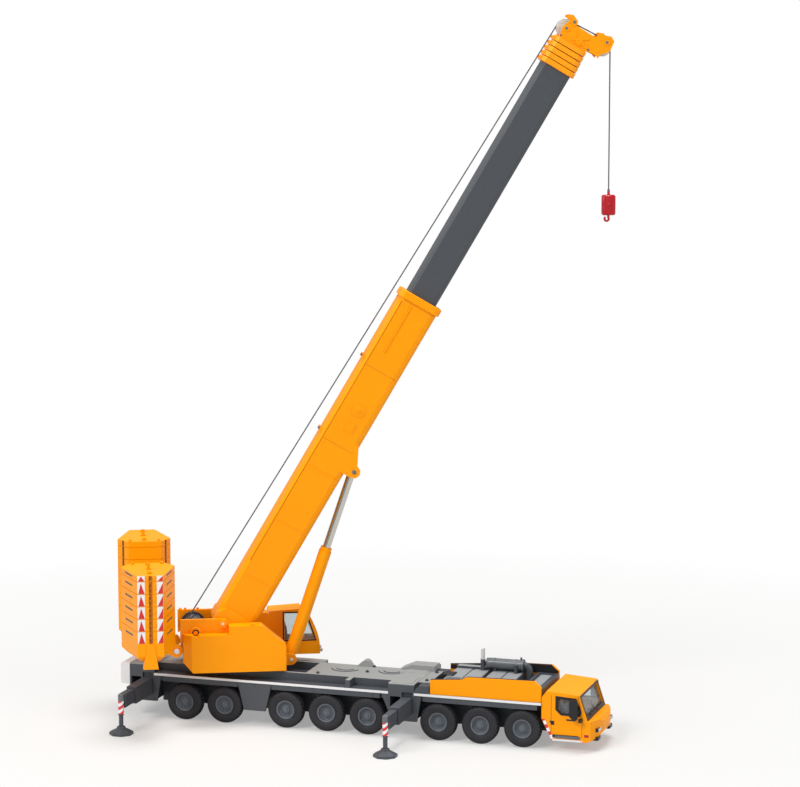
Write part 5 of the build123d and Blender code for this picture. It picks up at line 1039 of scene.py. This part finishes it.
# %% Floor, world and lights
FLOOR_SIZE, FLOOR_DROP = 30, 0.00005
FADE_START, FADE_END, WHITE_NEAR, WHITE_FAR = 0.14, 0.4, 0.34, 1.0
SOFT_LEVEL = 0.4
floor_mesh = bpy.data.meshes.new("floor")
grid = bmesh.new()
bmesh.ops.create_grid(grid, x_segments=1, y_segments=1, size=FLOOR_SIZE)
grid.to_mesh(floor_mesh)
grid.free()
floor = bpy.data.objects.new("floor", floor_mesh)
floor.location = (0, 0, -FLOOR_DROP)
bpy.context.scene.collection.objects.link(floor)
floor_look = bpy.data.materials.new("studio_floor")
floor_look.use_nodes = True
tree = floor_look.node_tree
shading = tree.nodes["Principled BSDF"]
shading.inputs["Base Color"].default_value = (0.61, 0.605, 0.59, 1)
shading.inputs["Roughness"].default_value = 0.8
spot = add_node(tree, "ShaderNodeTexCoord", output="Object")
from_middle = add_node(tree, "ShaderNodeVectorMath", {"operation": "LENGTH"}, {0: spot}, "Value")
fade = add_node(tree, "ShaderNodeMapRange", inputs={
    0: from_middle, 1: FADE_START, 2: FADE_END, 3: WHITE_NEAR, 4: WHITE_FAR,
})
camera_ray = add_node(tree, "ShaderNodeLightPath", output="Is Camera Ray")
glow = add_node(tree, "ShaderNodeEmission")
blend = add_node(tree, "ShaderNodeMixShader", inputs={
    0: camera_ray * fade, 1: Value(tree, shading.outputs[0]), 2: glow,
})
tree.links.new(blend.output, tree.nodes["Material Output"].inputs[0])
floor_mesh.materials.append(floor_look)

world = bpy.data.worlds.new("studio")
bpy.context.scene.world = world
world.use_nodes = True
tree = world.node_tree
soft = tree.nodes["Background"]
soft.inputs[0].default_value = (1.0, 1.0, 1.0, 1)
soft.inputs[1].default_value = SOFT_LEVEL
plain = add_node(tree, "ShaderNodeBackground", inputs={0: (1, 1, 1, 1), 1: 1.0})
camera_ray = add_node(tree, "ShaderNodeLightPath", output="Is Camera Ray")
glass_ray = add_node(tree, "ShaderNodeLightPath", output="Is Transmission Ray")
blend = add_node(tree, "ShaderNodeMixShader", inputs={
    0: camera_ray.math("MAXIMUM", glass_ray), 1: Value(tree, soft.outputs[0]), 2: plain,
})
tree.links.new(blend.output, tree.nodes["World Output"].inputs[0])


def softbox(name, where, size, watts):
    """An area light that looks at the middle of the model."""
    light = bpy.data.lights.new(name, "AREA")
    light.shape, light.size, light.energy = "DISK", size, watts
    lamp = bpy.data.objects.new(name, light)
    lamp.location = where
    lamp.rotation_mode = "QUATERNION"
    lamp.rotation_quaternion = (Vector((0.02, 0, 0.12)) - Vector(where)).to_track_quat("-Z", "Y")
    bpy.context.scene.collection.objects.link(lamp)


softbox("key_light", (-0.5, -1.0, 1.1), 0.7, 14)
softbox("fill_light", (1.2, -0.7, 0.7), 0.8, 5)
softbox("top_light", (0.1, 0.1, 1.5), 0.7, 17)
bpy.context.scene.view_settings.view_transform = "Standard"
print("lights", len(bpy.data.lights))
